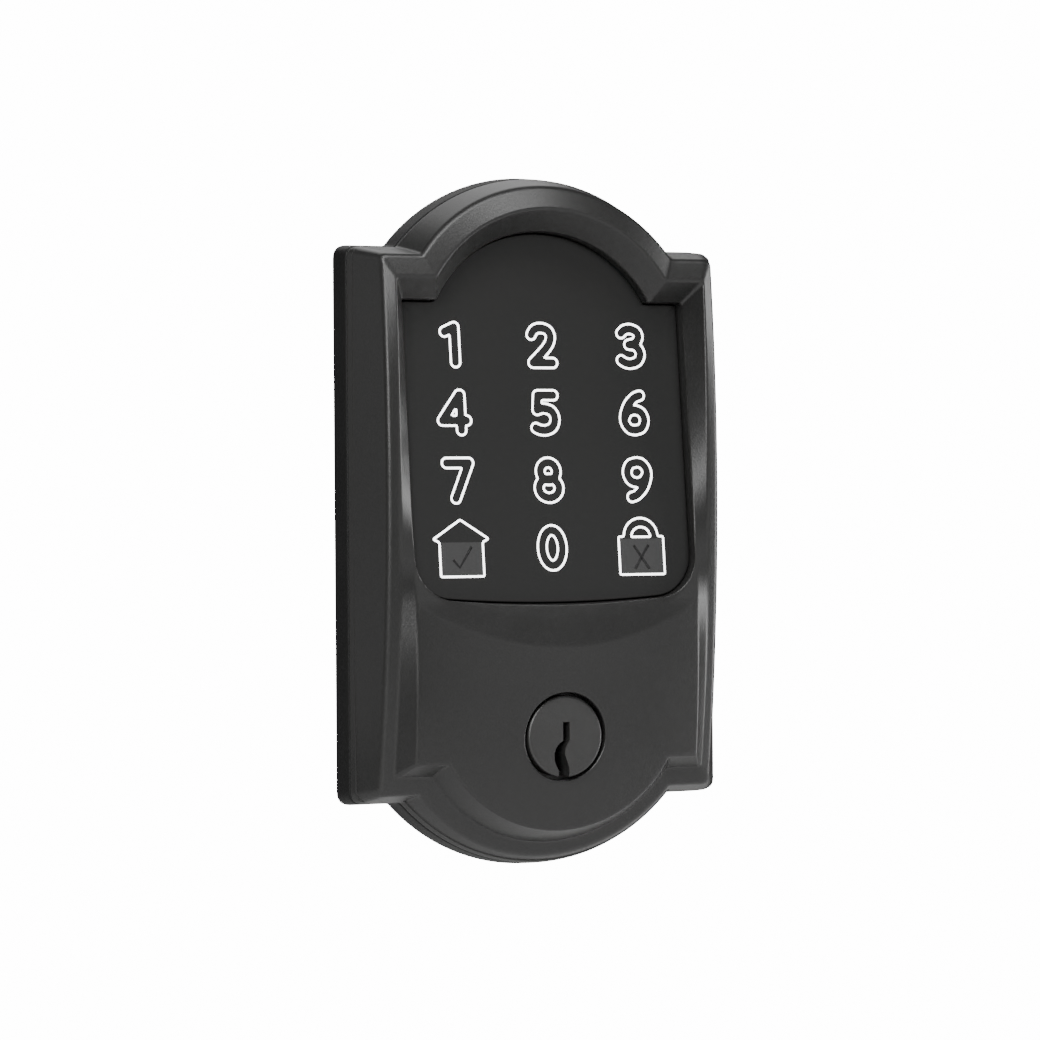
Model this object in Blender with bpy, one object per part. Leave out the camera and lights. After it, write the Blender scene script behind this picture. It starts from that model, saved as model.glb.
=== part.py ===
"""Outside half of a keypad deadbolt: arched die-cast cover, touch screen, key cylinder, tailpiece and mounting plate.

Metres, +Z up. The door's face is the plane y = 0, the front looks along -Y, and x is to the right seen from
the front. The origin is on the back of the mounting plate. Run in Blender 4.5.
"""

import math
from typing import NamedTuple

import bmesh
import bpy
from mathutils import Matrix, Vector

MM = 0.001
GAP = 0.3 * MM  # between pieces that rest on each other
OVERCUT = 3.0 * MM  # how far a cutter runs past what it cuts


class Arch(NamedTuple):
    """A rounded rectangle with a segment of a circle on its top and on its bottom edge."""

    half_width: float
    top_shoulder: float
    top_arc_half: float
    top_apex: float
    bottom_shoulder: float
    bottom_arc_half: float
    bottom_apex: float
    corner: float


# Cover outline at the door, at its front edge, at the rim's inner line, and the line round the screen and bib
HALF_WIDTH = 37.4 * MM
HALF_HEIGHT = 63.5 * MM
SHOULDER_DROP = 13.0 * MM  # from the arc's top down to the square shoulders
FOOT_SHOULDER_DROP = 12.1 * MM  # the same at the bottom
ARC_HALF = 27.4 * MM
FRONT_INSET = 4.1 * MM
FRONT_TRIM = 2.2 * MM  # the front outline is lower than the back one by this
RIM_WIDTH = 2.3 * MM
RIM_HEIGHT = 4.3 * MM
RIM_SHOULDER_HEIGHT = 4.2 * MM
FOOT_HEIGHT = 2.6 * MM  # the same below the bib
FOOT_SHOULDER_HEIGHT = 3.4 * MM
FIELD_STEP = 2.7 * MM  # from the rim's inner line to the screen's side
FIELD_DROP = 4.0 * MM  # and to its top
BIB_STEP = 2.4 * MM  # from the rim's inner line to the bib's ridge

# Depths, counted from the door
SEAL_DEPTH = 5.1 * MM
SEAL_DRAFT = 0.5 * MM  # how far its outside leans in
RIM_DEPTH = 15.5 * MM
RIM_CREST_Z = 7.0 * MM
RIM_RADIUS = 350.0 * MM
RIM_CROWN = 0.5 * MM
EDGE_CHAMFER = 0.7 * MM
SCREEN_HEAD_DEPTH = 9.3 * MM  # of the screen's plane at its top
SCREEN_FOOT_DEPTH = 16.65 * MM  # and at the bib's top corners, so that it leans back by 6.2 degrees
BIB_DEPTH = 19.65 * MM
BIB_CREST_Z = -25.0 * MM
BIB_RADIUS_Z = 152.0 * MM
BIB_RADIUS_X = 145.0 * MM
BIB_TOP_Z = -14.8 * MM
BIB_SCOOP = 8.0 * MM  # how far the bib's top edge dips at its middle
SIDE_WALL = 1.5 * MM
SKIRT_WALL = 1.6 * MM
RIM_WALL = 2.6 * MM
BIB_WALL = 2.4 * MM

# Screen and what is behind it, as depths behind the screen's plane
SCREEN_BOTTOM_Z = -15.0 * MM
SCREEN_BOTTOM_SAG = 0.8 * MM
SCREEN_CORNER = 8.0 * MM
LENS_CLEARANCE = 0.25 * MM
LENS_SINK = 1.9 * MM  # the lens lies this far behind the edge of its opening
LENS_THICKNESS = 1.4 * MM
SEAL_TAPE = 0.4 * MM
TAPE_WIDTH = 2.2 * MM
LEDGE_WIDTH = 2.8 * MM
LEDGE_THICKNESS = 1.5 * MM
GUIDE_THICKNESS = 1.0 * MM
GUIDE_CLEARANCE = 0.4 * MM
BOARD_THICKNESS = 1.0 * MM
BOARD_CLEARANCE = 0.6 * MM
CHIP_SIZE = 7.0 * MM
CHIP_THICKNESS = 0.9 * MM
CHIP_Z = 16.0 * MM
BUZZER_RADIUS = 5.5 * MM
BUZZER_THICKNESS = 2.6 * MM
BUZZER_X = -13.0 * MM
BUZZER_Z = 1.0 * MM
SOCKET_WIDTH = 11.0 * MM
SOCKET_HEIGHT = 4.4 * MM
SOCKET_THICKNESS = 3.6 * MM
SOCKET_Z = -5.0 * MM
CARRIER_WALL = 1.5 * MM
CARRIER_SEAT = 2.1 * MM  # width of the carrier's rim that the board rests on
CARRIER_EAR_REACH = 1.0 * MM  # of the ear's screw beyond the screen's side
CARRIER_EAR_RADIUS = 2.0 * MM
CARRIER_EAR_THICKNESS = 1.2 * MM
CARRIER_EAR_Z = (33.0 * MM, -4.0 * MM)
CARRIER_SCREW_RADIUS = 0.9 * MM
CARRIER_SCREW_LENGTH = 4.2 * MM
CARRIER_HEAD_RADIUS = 1.7 * MM
CARRIER_HEAD_THICKNESS = 0.8 * MM

# Mounting plate, its screws and the threaded posts for the bolts through the door
PLATE_THICKNESS = 2.0 * MM
SEAL_WIDTH = 3.6 * MM
BOSS_RADIUS = 3.0 * MM
BOSS_TOP_X = 16.0 * MM
BOSS_TOP_DROP = 12.3 * MM  # below the arc's top
BOSS_SIDE_INSET = 8.2 * MM  # from the side
BOSS_SIDE_Z = -31.0 * MM
PLATE_SCREW_RADIUS = 1.4 * MM
PLATE_SCREW_LENGTH = 7.5 * MM
PLATE_HEAD_RADIUS = 2.6 * MM
PLATE_HEAD_THICKNESS = 1.1 * MM
POST_CLEARANCE = 0.5 * MM  # between a post's head and the cylinder's flange
POST_RADIUS = 4.0 * MM
POST_LENGTH = 14.0 * MM
POST_NECK_RADIUS = 3.0 * MM
POST_HEAD_RADIUS = 5.0 * MM
POST_HEAD_THICKNESS = 1.4 * MM
POST_THREAD_RADIUS = 2.1 * MM
POST_THREAD_DEPTH = 11.0 * MM
CABLE_SLOT_Z = -16.0 * MM
CABLE_SLOT_WIDTH = 17.0 * MM
CABLE_SLOT_HEIGHT = 6.8 * MM
GROMMET_WALL = 0.7 * MM
GROMMET_LIP = 1.2 * MM
GROMMET_LIP_THICKNESS = 1.0 * MM

# Key cylinder; heights are above its axis
CYLINDER_Z = -39.0 * MM
COVER_HOLE_CLEARANCE = 0.6 * MM
PLUG_RADIUS = 6.35 * MM
PLUG_CLEARANCE = 0.08 * MM
PLUG_FACE_LIP = 1.05 * MM
PLUG_FACE_DEPTH = 18.75 * MM
PLUG_FACE_THICKNESS = 3.4 * MM
BARREL_WALL = 2.77 * MM
BARREL_BACK = 8.0 * MM  # behind the door's face
BIBLE_HALF_WIDTH = 4.0 * MM
BIBLE_HEIGHT = 9.85 * MM  # above the plug
BIBLE_FRONT_DEPTH = 15.2 * MM
BIBLE_BACK = 5.6 * MM
FLANGE_SCREW_X = 2.6 * MM  # beyond the barrel's side
FLANGE_SCREW_Z = 0.3 * MM  # beyond the barrel's top
FLANGE_MARGIN = 3.3 * MM  # round its screws
FLANGE_THICKNESS = 2.7 * MM
PIN_COUNT = 5
PIN_PITCH = 3.96 * MM
FIRST_PIN = 6.0 * MM  # behind the plug's face
PIN_RADIUS = 1.35 * MM
CHAMBER_RADIUS = 1.5 * MM
CHAMBER_FLOOR = -0.4 * MM
KEY_PIN_SHY = 0.23 * MM  # below the plug's edge
KEY_PIN_LENGTHS = (4.2 * MM, 4.9 * MM, 4.4 * MM, 5.1 * MM, 4.6 * MM)
DRIVER_SHY = 0.27 * MM  # above it
DRIVER_LENGTH = 4.0 * MM
SPRING_RADIUS = 1.05 * MM
SPRING_WIRE = 0.16 * MM
SPRING_TURNS = 4.5
PIN_COVER_THICKNESS = 0.8 * MM
PIN_COVER_HALF_WIDTH = 3.2 * MM
KEYWAY_DEPTH = 25.2 * MM
KEYWAY_RIGHT = ((0.8, 2.6), (0.8, -0.7), (0.35, -1.4), (-0.1, -2.3), (-0.1, -3.4), (0.35, -4.7), (0.7, -5.8), (0.75, -8.2))
KEYWAY_LEFT = ((-1.4, -8.2), (-1.4, -6.2), (-2.0, -5.0), (-2.25, -4.2), (-2.25, -3.1), (-2.0, -2.2), (-1.3, -1.3), (-0.5, -0.8), (-0.5, 2.6))

# Plug's tail end, its cap and the tailpiece
TAIL_NECK_STEP = 1.15 * MM
TAIL_NECK_LENGTH = 2.4 * MM
LUG_INNER = 2.5 * MM
LUG_SHY = 0.4 * MM  # inside the neck
LUG_LENGTH = 1.3 * MM
LUG_ANGLE = math.radians(36.0)
LOST_MOTION = math.radians(90.0)
LUG_CLEARANCE = math.radians(4.0)
CAP_SIDE = 2.3 * MM
CAP_WALL = 1.4 * MM
CAP_HOLE_CLEARANCE = 0.7 * MM  # round the blade's corners
HEAD_HUB_RADIUS = 2.1 * MM
HEAD_THICKNESS = 1.2 * MM
BLADE_HALF_WIDTH = 3.3 * MM
BLADE_THICKNESS = 2.0 * MM
BLADE_END = 52.0 * MM

ROUND_STEPS = 32

# Sizes that follow from the ones above
PLUG_FACE_RADIUS = PLUG_RADIUS + PLUG_FACE_LIP
COVER_HOLE_RADIUS = PLUG_FACE_RADIUS + COVER_HOLE_CLEARANCE
BARREL_RADIUS = PLUG_RADIUS + PLUG_CLEARANCE + BARREL_WALL
BIBLE_TOP = PLUG_RADIUS + BIBLE_HEIGHT
FLANGE_SCREW_PLACE = (BARREL_RADIUS + FLANGE_SCREW_X, BARREL_RADIUS + FLANGE_SCREW_Z)
FLANGE_SCREWS = ((-FLANGE_SCREW_PLACE[0], FLANGE_SCREW_PLACE[1]), (FLANGE_SCREW_PLACE[0], -FLANGE_SCREW_PLACE[1]))
FLANGE_HALF_WIDTH = FLANGE_SCREW_PLACE[0] + FLANGE_MARGIN
FLANGE_HALF_HEIGHT = FLANGE_SCREW_PLACE[1] + FLANGE_MARGIN
POST_X = FLANGE_HALF_WIDTH + POST_CLEARANCE + POST_HEAD_RADIUS
KEY_PIN_TOP = PLUG_RADIUS - KEY_PIN_SHY
DRIVER_BOTTOM = PLUG_RADIUS + DRIVER_SHY
TAIL_NECK_RADIUS = PLUG_RADIUS - TAIL_NECK_STEP
LUG_OUTER = TAIL_NECK_RADIUS - LUG_SHY
HEAD_RADIUS = TAIL_NECK_RADIUS - GAP
CAP_RADIUS = TAIL_NECK_RADIUS + GAP + CAP_SIDE
CAP_HOLE_RADIUS = math.hypot(BLADE_HALF_WIDTH, BLADE_THICKNESS / 2) + CAP_HOLE_CLEARANCE
BOSS_TOP = (BOSS_TOP_X, HALF_HEIGHT - BOSS_TOP_DROP)
BOSS_SIDE = (HALF_WIDTH - BOSS_SIDE_INSET, BOSS_SIDE_Z)
BOSS_PLACES = [(side * x, z) for x, z in (BOSS_TOP, BOSS_SIDE) for side in (-1, 1)]


# ---- outlines -------------------------------------------------------------------------------------------------


def inset(arch, distance):
    """The outline moved inwards by distance, with its arcs on the same centres."""

    def arc_half(shoulder, half, apex):
        radius = arc_radius(half, apex - shoulder)
        rise = (shoulder - distance) - (apex - radius)
        return math.sqrt((radius - distance) ** 2 - rise**2)

    return Arch(
        arch.half_width - distance,
        arch.top_shoulder - distance,
        arc_half(arch.top_shoulder, arch.top_arc_half, arch.top_apex),
        arch.top_apex - distance,
        arch.bottom_shoulder - distance,
        arc_half(arch.bottom_shoulder, arch.bottom_arc_half, arch.bottom_apex),
        arch.bottom_apex - distance,
        max(arch.corner - distance, 0.3 * MM),
    )


def arc_radius(half_chord, rise):
    return (half_chord**2 + rise**2) / (2 * rise)


def arc_points(half_chord, shoulder, apex, steps):
    """From the apex to the end of the arc on the right."""
    radius = arc_radius(half_chord, apex - shoulder)
    sweep = math.asin(half_chord / radius)
    angles = [sweep * i / steps for i in range(steps + 1)]
    return [(radius * math.sin(a), apex - radius + radius * math.cos(a)) for a in angles]


def corner_points(centre_x, centre_z, radius, start, steps):
    """A quarter turn clockwise from the angle start."""
    angles = [start - math.pi / 2 * i / steps for i in range(steps + 1)]
    return [(centre_x + radius * math.cos(a), centre_z + radius * math.sin(a)) for a in angles]


def spaced(start, end, steps):
    return [start + (end - start) * i / steps for i in range(1, steps)]


def mirrored(right):
    """The whole outline from its right half, which runs from the top of the middle line to its bottom."""
    left = [(-x, z) for x, z in reversed(right[1:-1])]
    return right + left


ARC_STEPS = 9
CORNER_STEPS = 2
UPPER_STEPS = 6
LOWER_STEPS = 4


def arch_right(arch):
    """The right half of the outline, top to bottom, with a point on the side level with the bib's top corner."""
    corner = arch.corner
    side_top = arch.top_shoulder - corner
    side_bottom = -arch.bottom_shoulder + corner
    side = arch.half_width
    bottom_arc = arc_points(arch.bottom_arc_half, arch.bottom_shoulder, arch.bottom_apex, ARC_STEPS)
    points = arc_points(arch.top_arc_half, arch.top_shoulder, arch.top_apex, ARC_STEPS)
    points += corner_points(side - corner, side_top, corner, math.pi / 2, CORNER_STEPS)
    points += [(side, z) for z in spaced(side_top, BIB_TOP_Z, UPPER_STEPS)]
    points += [(side, BIB_TOP_Z)]
    points += [(side, z) for z in spaced(BIB_TOP_Z, side_bottom, LOWER_STEPS)]
    points += corner_points(side - corner, side_bottom, corner, 0.0, CORNER_STEPS)
    points += [(x, -z) for x, z in reversed(bottom_arc)]
    return points


def screen_outline(distance):
    """The opening for the screen moved inwards by distance: arched top, rounded bottom corners, slightly bowed foot."""
    top = inset(FIELD, distance)
    corner = SCREEN_CORNER - distance
    bottom = SCREEN_BOTTOM_Z + distance
    bow_half = top.half_width - corner
    points = arc_points(top.top_arc_half, top.top_shoulder, top.top_apex, ARC_STEPS)
    points += corner_points(top.half_width - top.corner, top.top_shoulder - top.corner, top.corner, math.pi / 2, 2)
    side_foot = bottom + SCREEN_BOTTOM_SAG + corner
    points += corner_points(top.half_width - corner, side_foot, corner, 0.0, 6)
    bow = arc_points(bow_half, 0.0, SCREEN_BOTTOM_SAG, 3)
    points += [(x, bottom + SCREEN_BOTTOM_SAG - z) for x, z in reversed(bow[:-1])]
    return mirrored(points)


def circle(radius, x=0.0, z=0.0, steps=ROUND_STEPS):
    angles = [2 * math.pi * i / steps for i in range(steps)]
    return [(x + radius * math.cos(a), z + radius * math.sin(a)) for a in angles]


def rounded_box(half_width, half_height, corner, x=0.0, z=0.0, steps=3):
    right, top = half_width - corner, half_height - corner
    points = corner_points(x + right, z + top, corner, math.pi / 2, steps)
    points += corner_points(x + right, z - top, corner, 0.0, steps)
    points += corner_points(x - right, z - top, corner, -math.pi / 2, steps)
    points += corner_points(x - right, z + top, corner, math.pi, steps)
    return points


def keyhole(radius, half_width, top, steps=ROUND_STEPS):
    """A circle about the cylinder's axis with a straight-sided slot up to top."""
    start = math.acos(half_width / radius)
    sweep = 2 * math.pi - (math.pi - 2 * start)
    angles = [start - sweep * i / steps for i in range(steps + 1)]
    points = [(radius * math.cos(a), CYLINDER_Z + radius * math.sin(a)) for a in angles]
    return points + [(-half_width, CYLINDER_Z + top), (half_width, CYLINDER_Z + top)]


BACK = Arch(
    HALF_WIDTH,
    HALF_HEIGHT - SHOULDER_DROP,
    ARC_HALF,
    HALF_HEIGHT,
    HALF_HEIGHT - FOOT_SHOULDER_DROP,
    ARC_HALF,
    HALF_HEIGHT,
    2.6 * MM,
)
FRONT_APEX = HALF_HEIGHT - FRONT_TRIM
FRONT = Arch(
    HALF_WIDTH - FRONT_INSET,
    FRONT_APEX - SHOULDER_DROP,
    ARC_HALF - 2.3 * MM,
    FRONT_APEX,
    FRONT_APEX - FOOT_SHOULDER_DROP,
    ARC_HALF - 2.3 * MM,
    FRONT_APEX,
    1.8 * MM,
)
RIM = Arch(
    FRONT.half_width - RIM_WIDTH,
    FRONT.top_shoulder - RIM_SHOULDER_HEIGHT,
    FRONT.top_arc_half - 2.1 * MM,
    FRONT.top_apex - RIM_HEIGHT,
    FRONT.bottom_shoulder - FOOT_SHOULDER_HEIGHT,
    FRONT.bottom_arc_half - 1.5 * MM,
    FRONT.bottom_apex - FOOT_HEIGHT,
    1.0 * MM,
)
FIELD = Arch(
    RIM.half_width - FIELD_STEP,
    RIM.top_shoulder - FIELD_DROP,
    RIM.top_arc_half - 1.6 * MM,
    RIM.top_apex - FIELD_DROP,
    RIM.bottom_shoulder - BIB_STEP,
    RIM.bottom_arc_half - 1.5 * MM,
    RIM.bottom_apex - BIB_STEP,
    0.5 * MM,
)


# ---- depths ---------------------------------------------------------------------------------------------------


def rim_depth(z):
    return RIM_DEPTH - (z - RIM_CREST_Z) ** 2 / (2 * RIM_RADIUS)


def rim_inner_depth(z):
    flatter = RIM_RADIUS * 1.6 if z > RIM_CREST_Z else RIM_RADIUS
    return RIM_DEPTH + RIM_CROWN - (z - RIM_CREST_Z) ** 2 / (2 * flatter)


SCREEN_SLOPE = (SCREEN_FOOT_DEPTH - SCREEN_HEAD_DEPTH) / (FIELD.top_apex - BIB_TOP_Z)


def screen_depth(z):
    return SCREEN_FOOT_DEPTH - SCREEN_SLOPE * (z - BIB_TOP_Z)


def bib_depth(x, z):
    return BIB_DEPTH - (z - BIB_CREST_Z) ** 2 / (2 * BIB_RADIUS_Z) - x**2 / (2 * BIB_RADIUS_X)


def behind_screen(distance):
    """A depth function for a face parallel to the screen and this far behind it."""
    return lambda x, z: screen_depth(z) - distance


def at_depth(value):
    return lambda x, z: value


# Distances behind the screen's plane, front to back
LENS_BACK = LENS_SINK + LENS_THICKNESS
POCKET_FLOOR = LENS_BACK + GAP + SEAL_TAPE + GAP
LEDGE_BACK = POCKET_FLOOR + LEDGE_THICKNESS
GUIDE_FRONT = LENS_BACK + GAP
BOARD_FRONT = GUIDE_FRONT + GUIDE_THICKNESS + GAP
BOARD_BACK = BOARD_FRONT + BOARD_THICKNESS
CARRIER_FRONT = BOARD_BACK + GAP
CARRIER_BACK_DEPTH = PLATE_THICKNESS + 2 * GAP
EAR_FRONT = LEDGE_BACK + GAP


# ---- building blocks ------------------------------------------------------------------------------------------


def material(name, colour, roughness, metallic=0.0):
    made = bpy.data.materials.new(name)
    made.use_nodes = True
    shader = made.node_tree.nodes["Principled BSDF"]
    shader.inputs["Base Color"].default_value = (*colour, 1.0)
    shader.inputs["Roughness"].default_value = roughness
    shader.inputs["Metallic"].default_value = metallic
    made.diffuse_color = (*colour, 1.0)
    return made


def add_object(name, bm, made=None, smooth_deg=18.0):
    bmesh.ops.recalc_face_normals(bm, faces=bm.faces)
    bmesh.ops.triangulate(bm, faces=bm.faces, quad_method="SHORT_EDGE")
    if bm.calc_volume(signed=True) < 0:
        bmesh.ops.reverse_faces(bm, faces=bm.faces)
    mesh = bpy.data.meshes.new(name)
    bm.to_mesh(mesh)
    bm.free()
    if made:
        mesh.materials.append(made)
        mesh.shade_smooth()
        mesh.set_sharp_from_angle(angle=math.radians(smooth_deg))
    obj = bpy.data.objects.new(name, mesh)
    bpy.context.scene.collection.objects.link(obj)
    return obj


def move_origin(obj, place):
    """Puts the object's origin on its joint's axis and leaves its shape where it is."""
    obj.data.transform(Matrix.Translation(-place))
    obj.location = place


def as_cutter(obj):
    obj.hide_render = True
    obj.display_type = "WIRE"
    return obj


def boolean(obj, cutter, operation="DIFFERENCE"):
    modifier = obj.modifiers.new(cutter.name, "BOOLEAN")
    modifier.operation = operation
    modifier.solver = "EXACT"
    modifier.object = as_cutter(cutter)


def loop(bm, outline, depth):
    """Vertices at the outline's points, each at the depth that depth(x, z) gives."""
    return [bm.verts.new((x, -depth(x, z), z)) for x, z in outline]


def bridge(bm, *loops):
    """Joins each closed loop of vertices to the next one, which has as many."""
    for first, second in zip(loops, loops[1:]):
        for i in range(len(first)):
            bm.faces.new((first[i - 1], first[i], second[i], second[i - 1]))


def cap(bm, corners):
    bm.faces.new(corners)


def fan(bm, corners, depth, x, z):
    """Closes the loop towards one vertex at x, z."""
    tip = bm.verts.new((x, -depth(x, z), z))
    for i in range(len(corners)):
        bm.faces.new((corners[i - 1], corners[i], tip))


def prism(name, outline, front, back, made=None, back_outline=None):
    """A solid between two depth functions, front and back, straight or tapering to back_outline."""
    bm = bmesh.new()
    near = loop(bm, outline, front)
    far = loop(bm, back_outline or outline, back)
    bridge(bm, near, far)
    cap(bm, near)
    cap(bm, far)
    return add_object(name, bm, made)


def ring(name, outer, inner, front, back, made, front_outer=None):
    bm = bmesh.new()
    near = loop(bm, front_outer or outer, front)
    loops = [near, loop(bm, outer, back), loop(bm, inner, back), loop(bm, inner, front)]
    bridge(bm, *loops, loops[0])
    return add_object(name, bm, made)


def turned(name, profile, x, z, made=None, steps=ROUND_STEPS):
    """A solid of revolution about the line along Y through x, z. The profile's points are radius and depth."""
    bm = bmesh.new()
    loops = [loop(bm, circle(radius, x, z, steps), at_depth(depth)) for radius, depth in profile]
    bridge(bm, *loops)
    cap(bm, loops[0])
    cap(bm, loops[-1])
    return add_object(name, bm, made)


def upright(name, profile, x, y, made=None, steps=16):
    """A solid of revolution about the vertical line through x, y. The profile's points are radius and height."""
    bm = bmesh.new()
    loops = []
    for radius, height in profile:
        loops.append([bm.verts.new((x + a, y + b, height)) for a, b in circle(radius, steps=steps)])
    bridge(bm, *loops)
    cap(bm, loops[0])
    cap(bm, loops[-1])
    return add_object(name, bm, made)


def profile_prism(name, outline, half_width):
    """A solid along X from an outline of depth and height points."""
    bm = bmesh.new()
    loops = [[bm.verts.new((side, -depth, z)) for depth, z in outline] for side in (-half_width, half_width)]
    bridge(bm, *loops)
    cap(bm, loops[0])
    cap(bm, loops[1])
    return add_object(name, bm)


# ---- cover ----------------------------------------------------------------------------------------------------

CREASE_STEPS = 8
BIB_RINGS = (0.3, 0.62, 1.0)


def scoop_points():
    """The bib's top edge between its two corners, left to right: an arc that dips in the middle."""
    rise = arc_points(FIELD.half_width, 0.0, BIB_SCOOP, CREASE_STEPS // 2)
    right = [(x, BIB_TOP_Z - z) for x, z in rise[1:-1]]
    left = [(-x, z) for x, z in reversed(right)]
    return left + [(0.0, BIB_TOP_Z - BIB_SCOOP)] + right


def field_edge_depth(x, z):
    """Depth of the line round screen and bib: on the screen's plane above the bib's corners, on the bib below."""
    return screen_depth(z) if z > BIB_TOP_Z - 0.01 * MM else bib_depth(x, z)


def crown(bm, boundary, centre_z, radius):
    """Fills the boundary, a list of vertices, with rings on the bib's surface that close in on a circle."""
    angles = [math.atan2(v.co.z - centre_z, v.co.x) for v in boundary]
    rings = [boundary]
    for share in BIB_RINGS:
        made = []
        for vertex, angle in zip(boundary, angles):
            end = Vector((radius * math.cos(angle), centre_z + radius * math.sin(angle)))
            x, z = Vector((vertex.co.x, vertex.co.z)).lerp(end, share)
            made.append(bm.verts.new((x, -bib_depth(x, z), z)))
        rings.append(made)
    bridge(bm, *rings)
    fan(bm, rings[-1], bib_depth, 0.0, centre_z)


def cover_skin():
    """The cover's outer shape as one closed body: skirt, drafted sides, rim, sloping band, screen plane, crowned bib."""
    bm = bmesh.new()
    skirt_outline = mirrored(arch_right(inset(BACK, SEAL_WIDTH + GAP)))
    skirt_end = loop(bm, skirt_outline, at_depth(PLATE_THICKNESS + GAP))
    skirt_root = loop(bm, skirt_outline, at_depth(SEAL_DEPTH + GAP))
    back = loop(bm, mirrored(arch_right(inset(BACK, SEAL_DRAFT))), at_depth(SEAL_DEPTH + GAP))
    side_top = loop(bm, mirrored(arch_right(inset(FRONT, -EDGE_CHAMFER / 3))), lambda x, z: rim_depth(z) - EDGE_CHAMFER)
    front = loop(bm, mirrored(arch_right(inset(FRONT, EDGE_CHAMFER / 2))), lambda x, z: rim_depth(z))
    rim = loop(bm, mirrored(arch_right(RIM)), lambda x, z: rim_inner_depth(z))
    outline = mirrored(arch_right(FIELD))
    corners = loop(bm, outline, field_edge_depth)
    bridge(bm, skirt_end, skirt_root, back, side_top, front, rim, corners)
    cap(bm, skirt_end)

    right = min(range(len(corners)), key=lambda i: abs(outline[i][1] - BIB_TOP_Z) - outline[i][0])
    left = len(corners) - right
    upper = corners[left:] + corners[: right + 1]
    lower = corners[right : left + 1]
    hinge = [bm.verts.new((x, -screen_depth(BIB_TOP_Z), BIB_TOP_Z)) for x, _ in scoop_points()]
    scoop = [bm.verts.new((x, -bib_depth(x, z), z)) for x, z in scoop_points()]
    bm.faces.new(upper + hinge[::-1])
    top_line = [corners[left], *hinge, corners[right]]
    low_line = [corners[left], *scoop, corners[right]]
    for i in range(len(top_line) - 1):
        quad = [top_line[i], top_line[i + 1], low_line[i + 1], low_line[i]]
        bm.faces.new(list(dict.fromkeys(quad)))
    crown(bm, lower + scoop, CYLINDER_Z, COVER_HOLE_RADIUS / 2)
    return bm


def cover_hollow():
    """The space inside the cover: a tray under rim and screen, and a deeper chamber under the bib."""
    mouth = inset(BACK, SEAL_WIDTH + GAP + SKIRT_WALL)
    end = inset(FRONT, SIDE_WALL)
    tray = prism(
        "hollow_tray",
        mirrored(arch_right(mouth)),
        at_depth(0.0),
        at_depth(RIM_DEPTH),
        back_outline=mirrored(arch_right(end)),
    )
    heights = [-HALF_HEIGHT + 2 * HALF_HEIGHT * i / 36 for i in range(37)]
    roof = [(min(screen_depth(z) - LEDGE_BACK, rim_depth(z) - RIM_WALL), z) for z in heights]
    floor = [(0.0, HALF_HEIGHT), (0.0, -HALF_HEIGHT)]
    boolean(tray, profile_prism("hollow_roof", roof + floor, HALF_WIDTH), "INTERSECT")
    return tray


def bib_chamber():
    side = inset(FIELD, BIB_WALL * 0.75)
    ceiling = BIB_TOP_Z - BIB_WALL
    half = arch_right(side)
    lower = [(side.half_width, ceiling)] + [p for p in half if p[1] < ceiling - MM]
    outline = mirrored([(0.0, ceiling)] + lower)
    bm = bmesh.new()
    loops = [loop(bm, outline, at_depth(SEAL_DEPTH))]
    for share in (0.0, 0.35, 0.7):
        closer = [(x * (1 - share), z + (CYLINDER_Z - z) * share) for x, z in outline]
        loops.append(loop(bm, closer, chamber_depth))
    bridge(bm, *loops)
    cap(bm, loops[0])
    fan(bm, loops[-1], chamber_depth, 0.0, CYLINDER_Z)
    return add_object("hollow_bib", bm)


def chamber_depth(x, z):
    """A wall's thickness under the bib, and under the slope between the screen and the bib's top edge."""
    slope = screen_depth(BIB_TOP_Z) + (BIB_TOP_Z - z) * 0.38
    return min(bib_depth(x, z), slope) - BIB_WALL


def make_cover(made):
    cover = add_object("escutcheon", cover_skin(), made)
    boolean(cover, cover_hollow())
    boolean(cover, bib_chamber())
    pocket = prism("screen_pocket", screen_outline(0.0), behind_screen(-OVERCUT), behind_screen(POCKET_FLOOR))
    boolean(cover, pocket)
    window = prism("screen_window", screen_outline(LEDGE_WIDTH), behind_screen(0.0), behind_screen(LEDGE_BACK + OVERCUT))
    boolean(cover, window)
    hole = turned("cylinder_hole", ((COVER_HOLE_RADIUS, BIB_DEPTH + OVERCUT), (COVER_HOLE_RADIUS, SEAL_DEPTH)), 0.0, CYLINDER_Z)
    boolean(cover, hole)
    for number, (x, z) in enumerate(BOSS_PLACES, 1):
        ceiling = min(screen_depth(z) - LEDGE_BACK, rim_depth(z) - RIM_WALL)
        profile = ((BOSS_RADIUS, ceiling + 0.8 * MM), (BOSS_RADIUS, PLATE_THICKNESS + GAP))
        boolean(cover, turned(f"boss_{number}", profile, x, z, steps=20), "UNION")
        tip = PLATE_SCREW_LENGTH + 0.6 * MM
        profile = ((PLATE_SCREW_RADIUS + GAP, tip), (PLATE_SCREW_RADIUS + GAP, 0.0))
        boolean(cover, turned(f"boss_hole_{number}", profile, x, z, steps=12))
    for number, (x, z) in enumerate(ear_places(), 1):
        root = screen_depth(z) - LEDGE_BACK
        profile = ((CARRIER_SCREW_RADIUS + GAP, root + 3.2 * MM), (CARRIER_SCREW_RADIUS + GAP, root - MM))
        boolean(cover, turned(f"ear_hole_{number}", profile, x, z, steps=12))
    return cover


def ear_places():
    reach = FIELD.half_width + CARRIER_EAR_REACH
    return [(side * reach, z) for z in CARRIER_EAR_Z for side in (-1, 1)]


# ---- screen stack ---------------------------------------------------------------------------------------------


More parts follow.
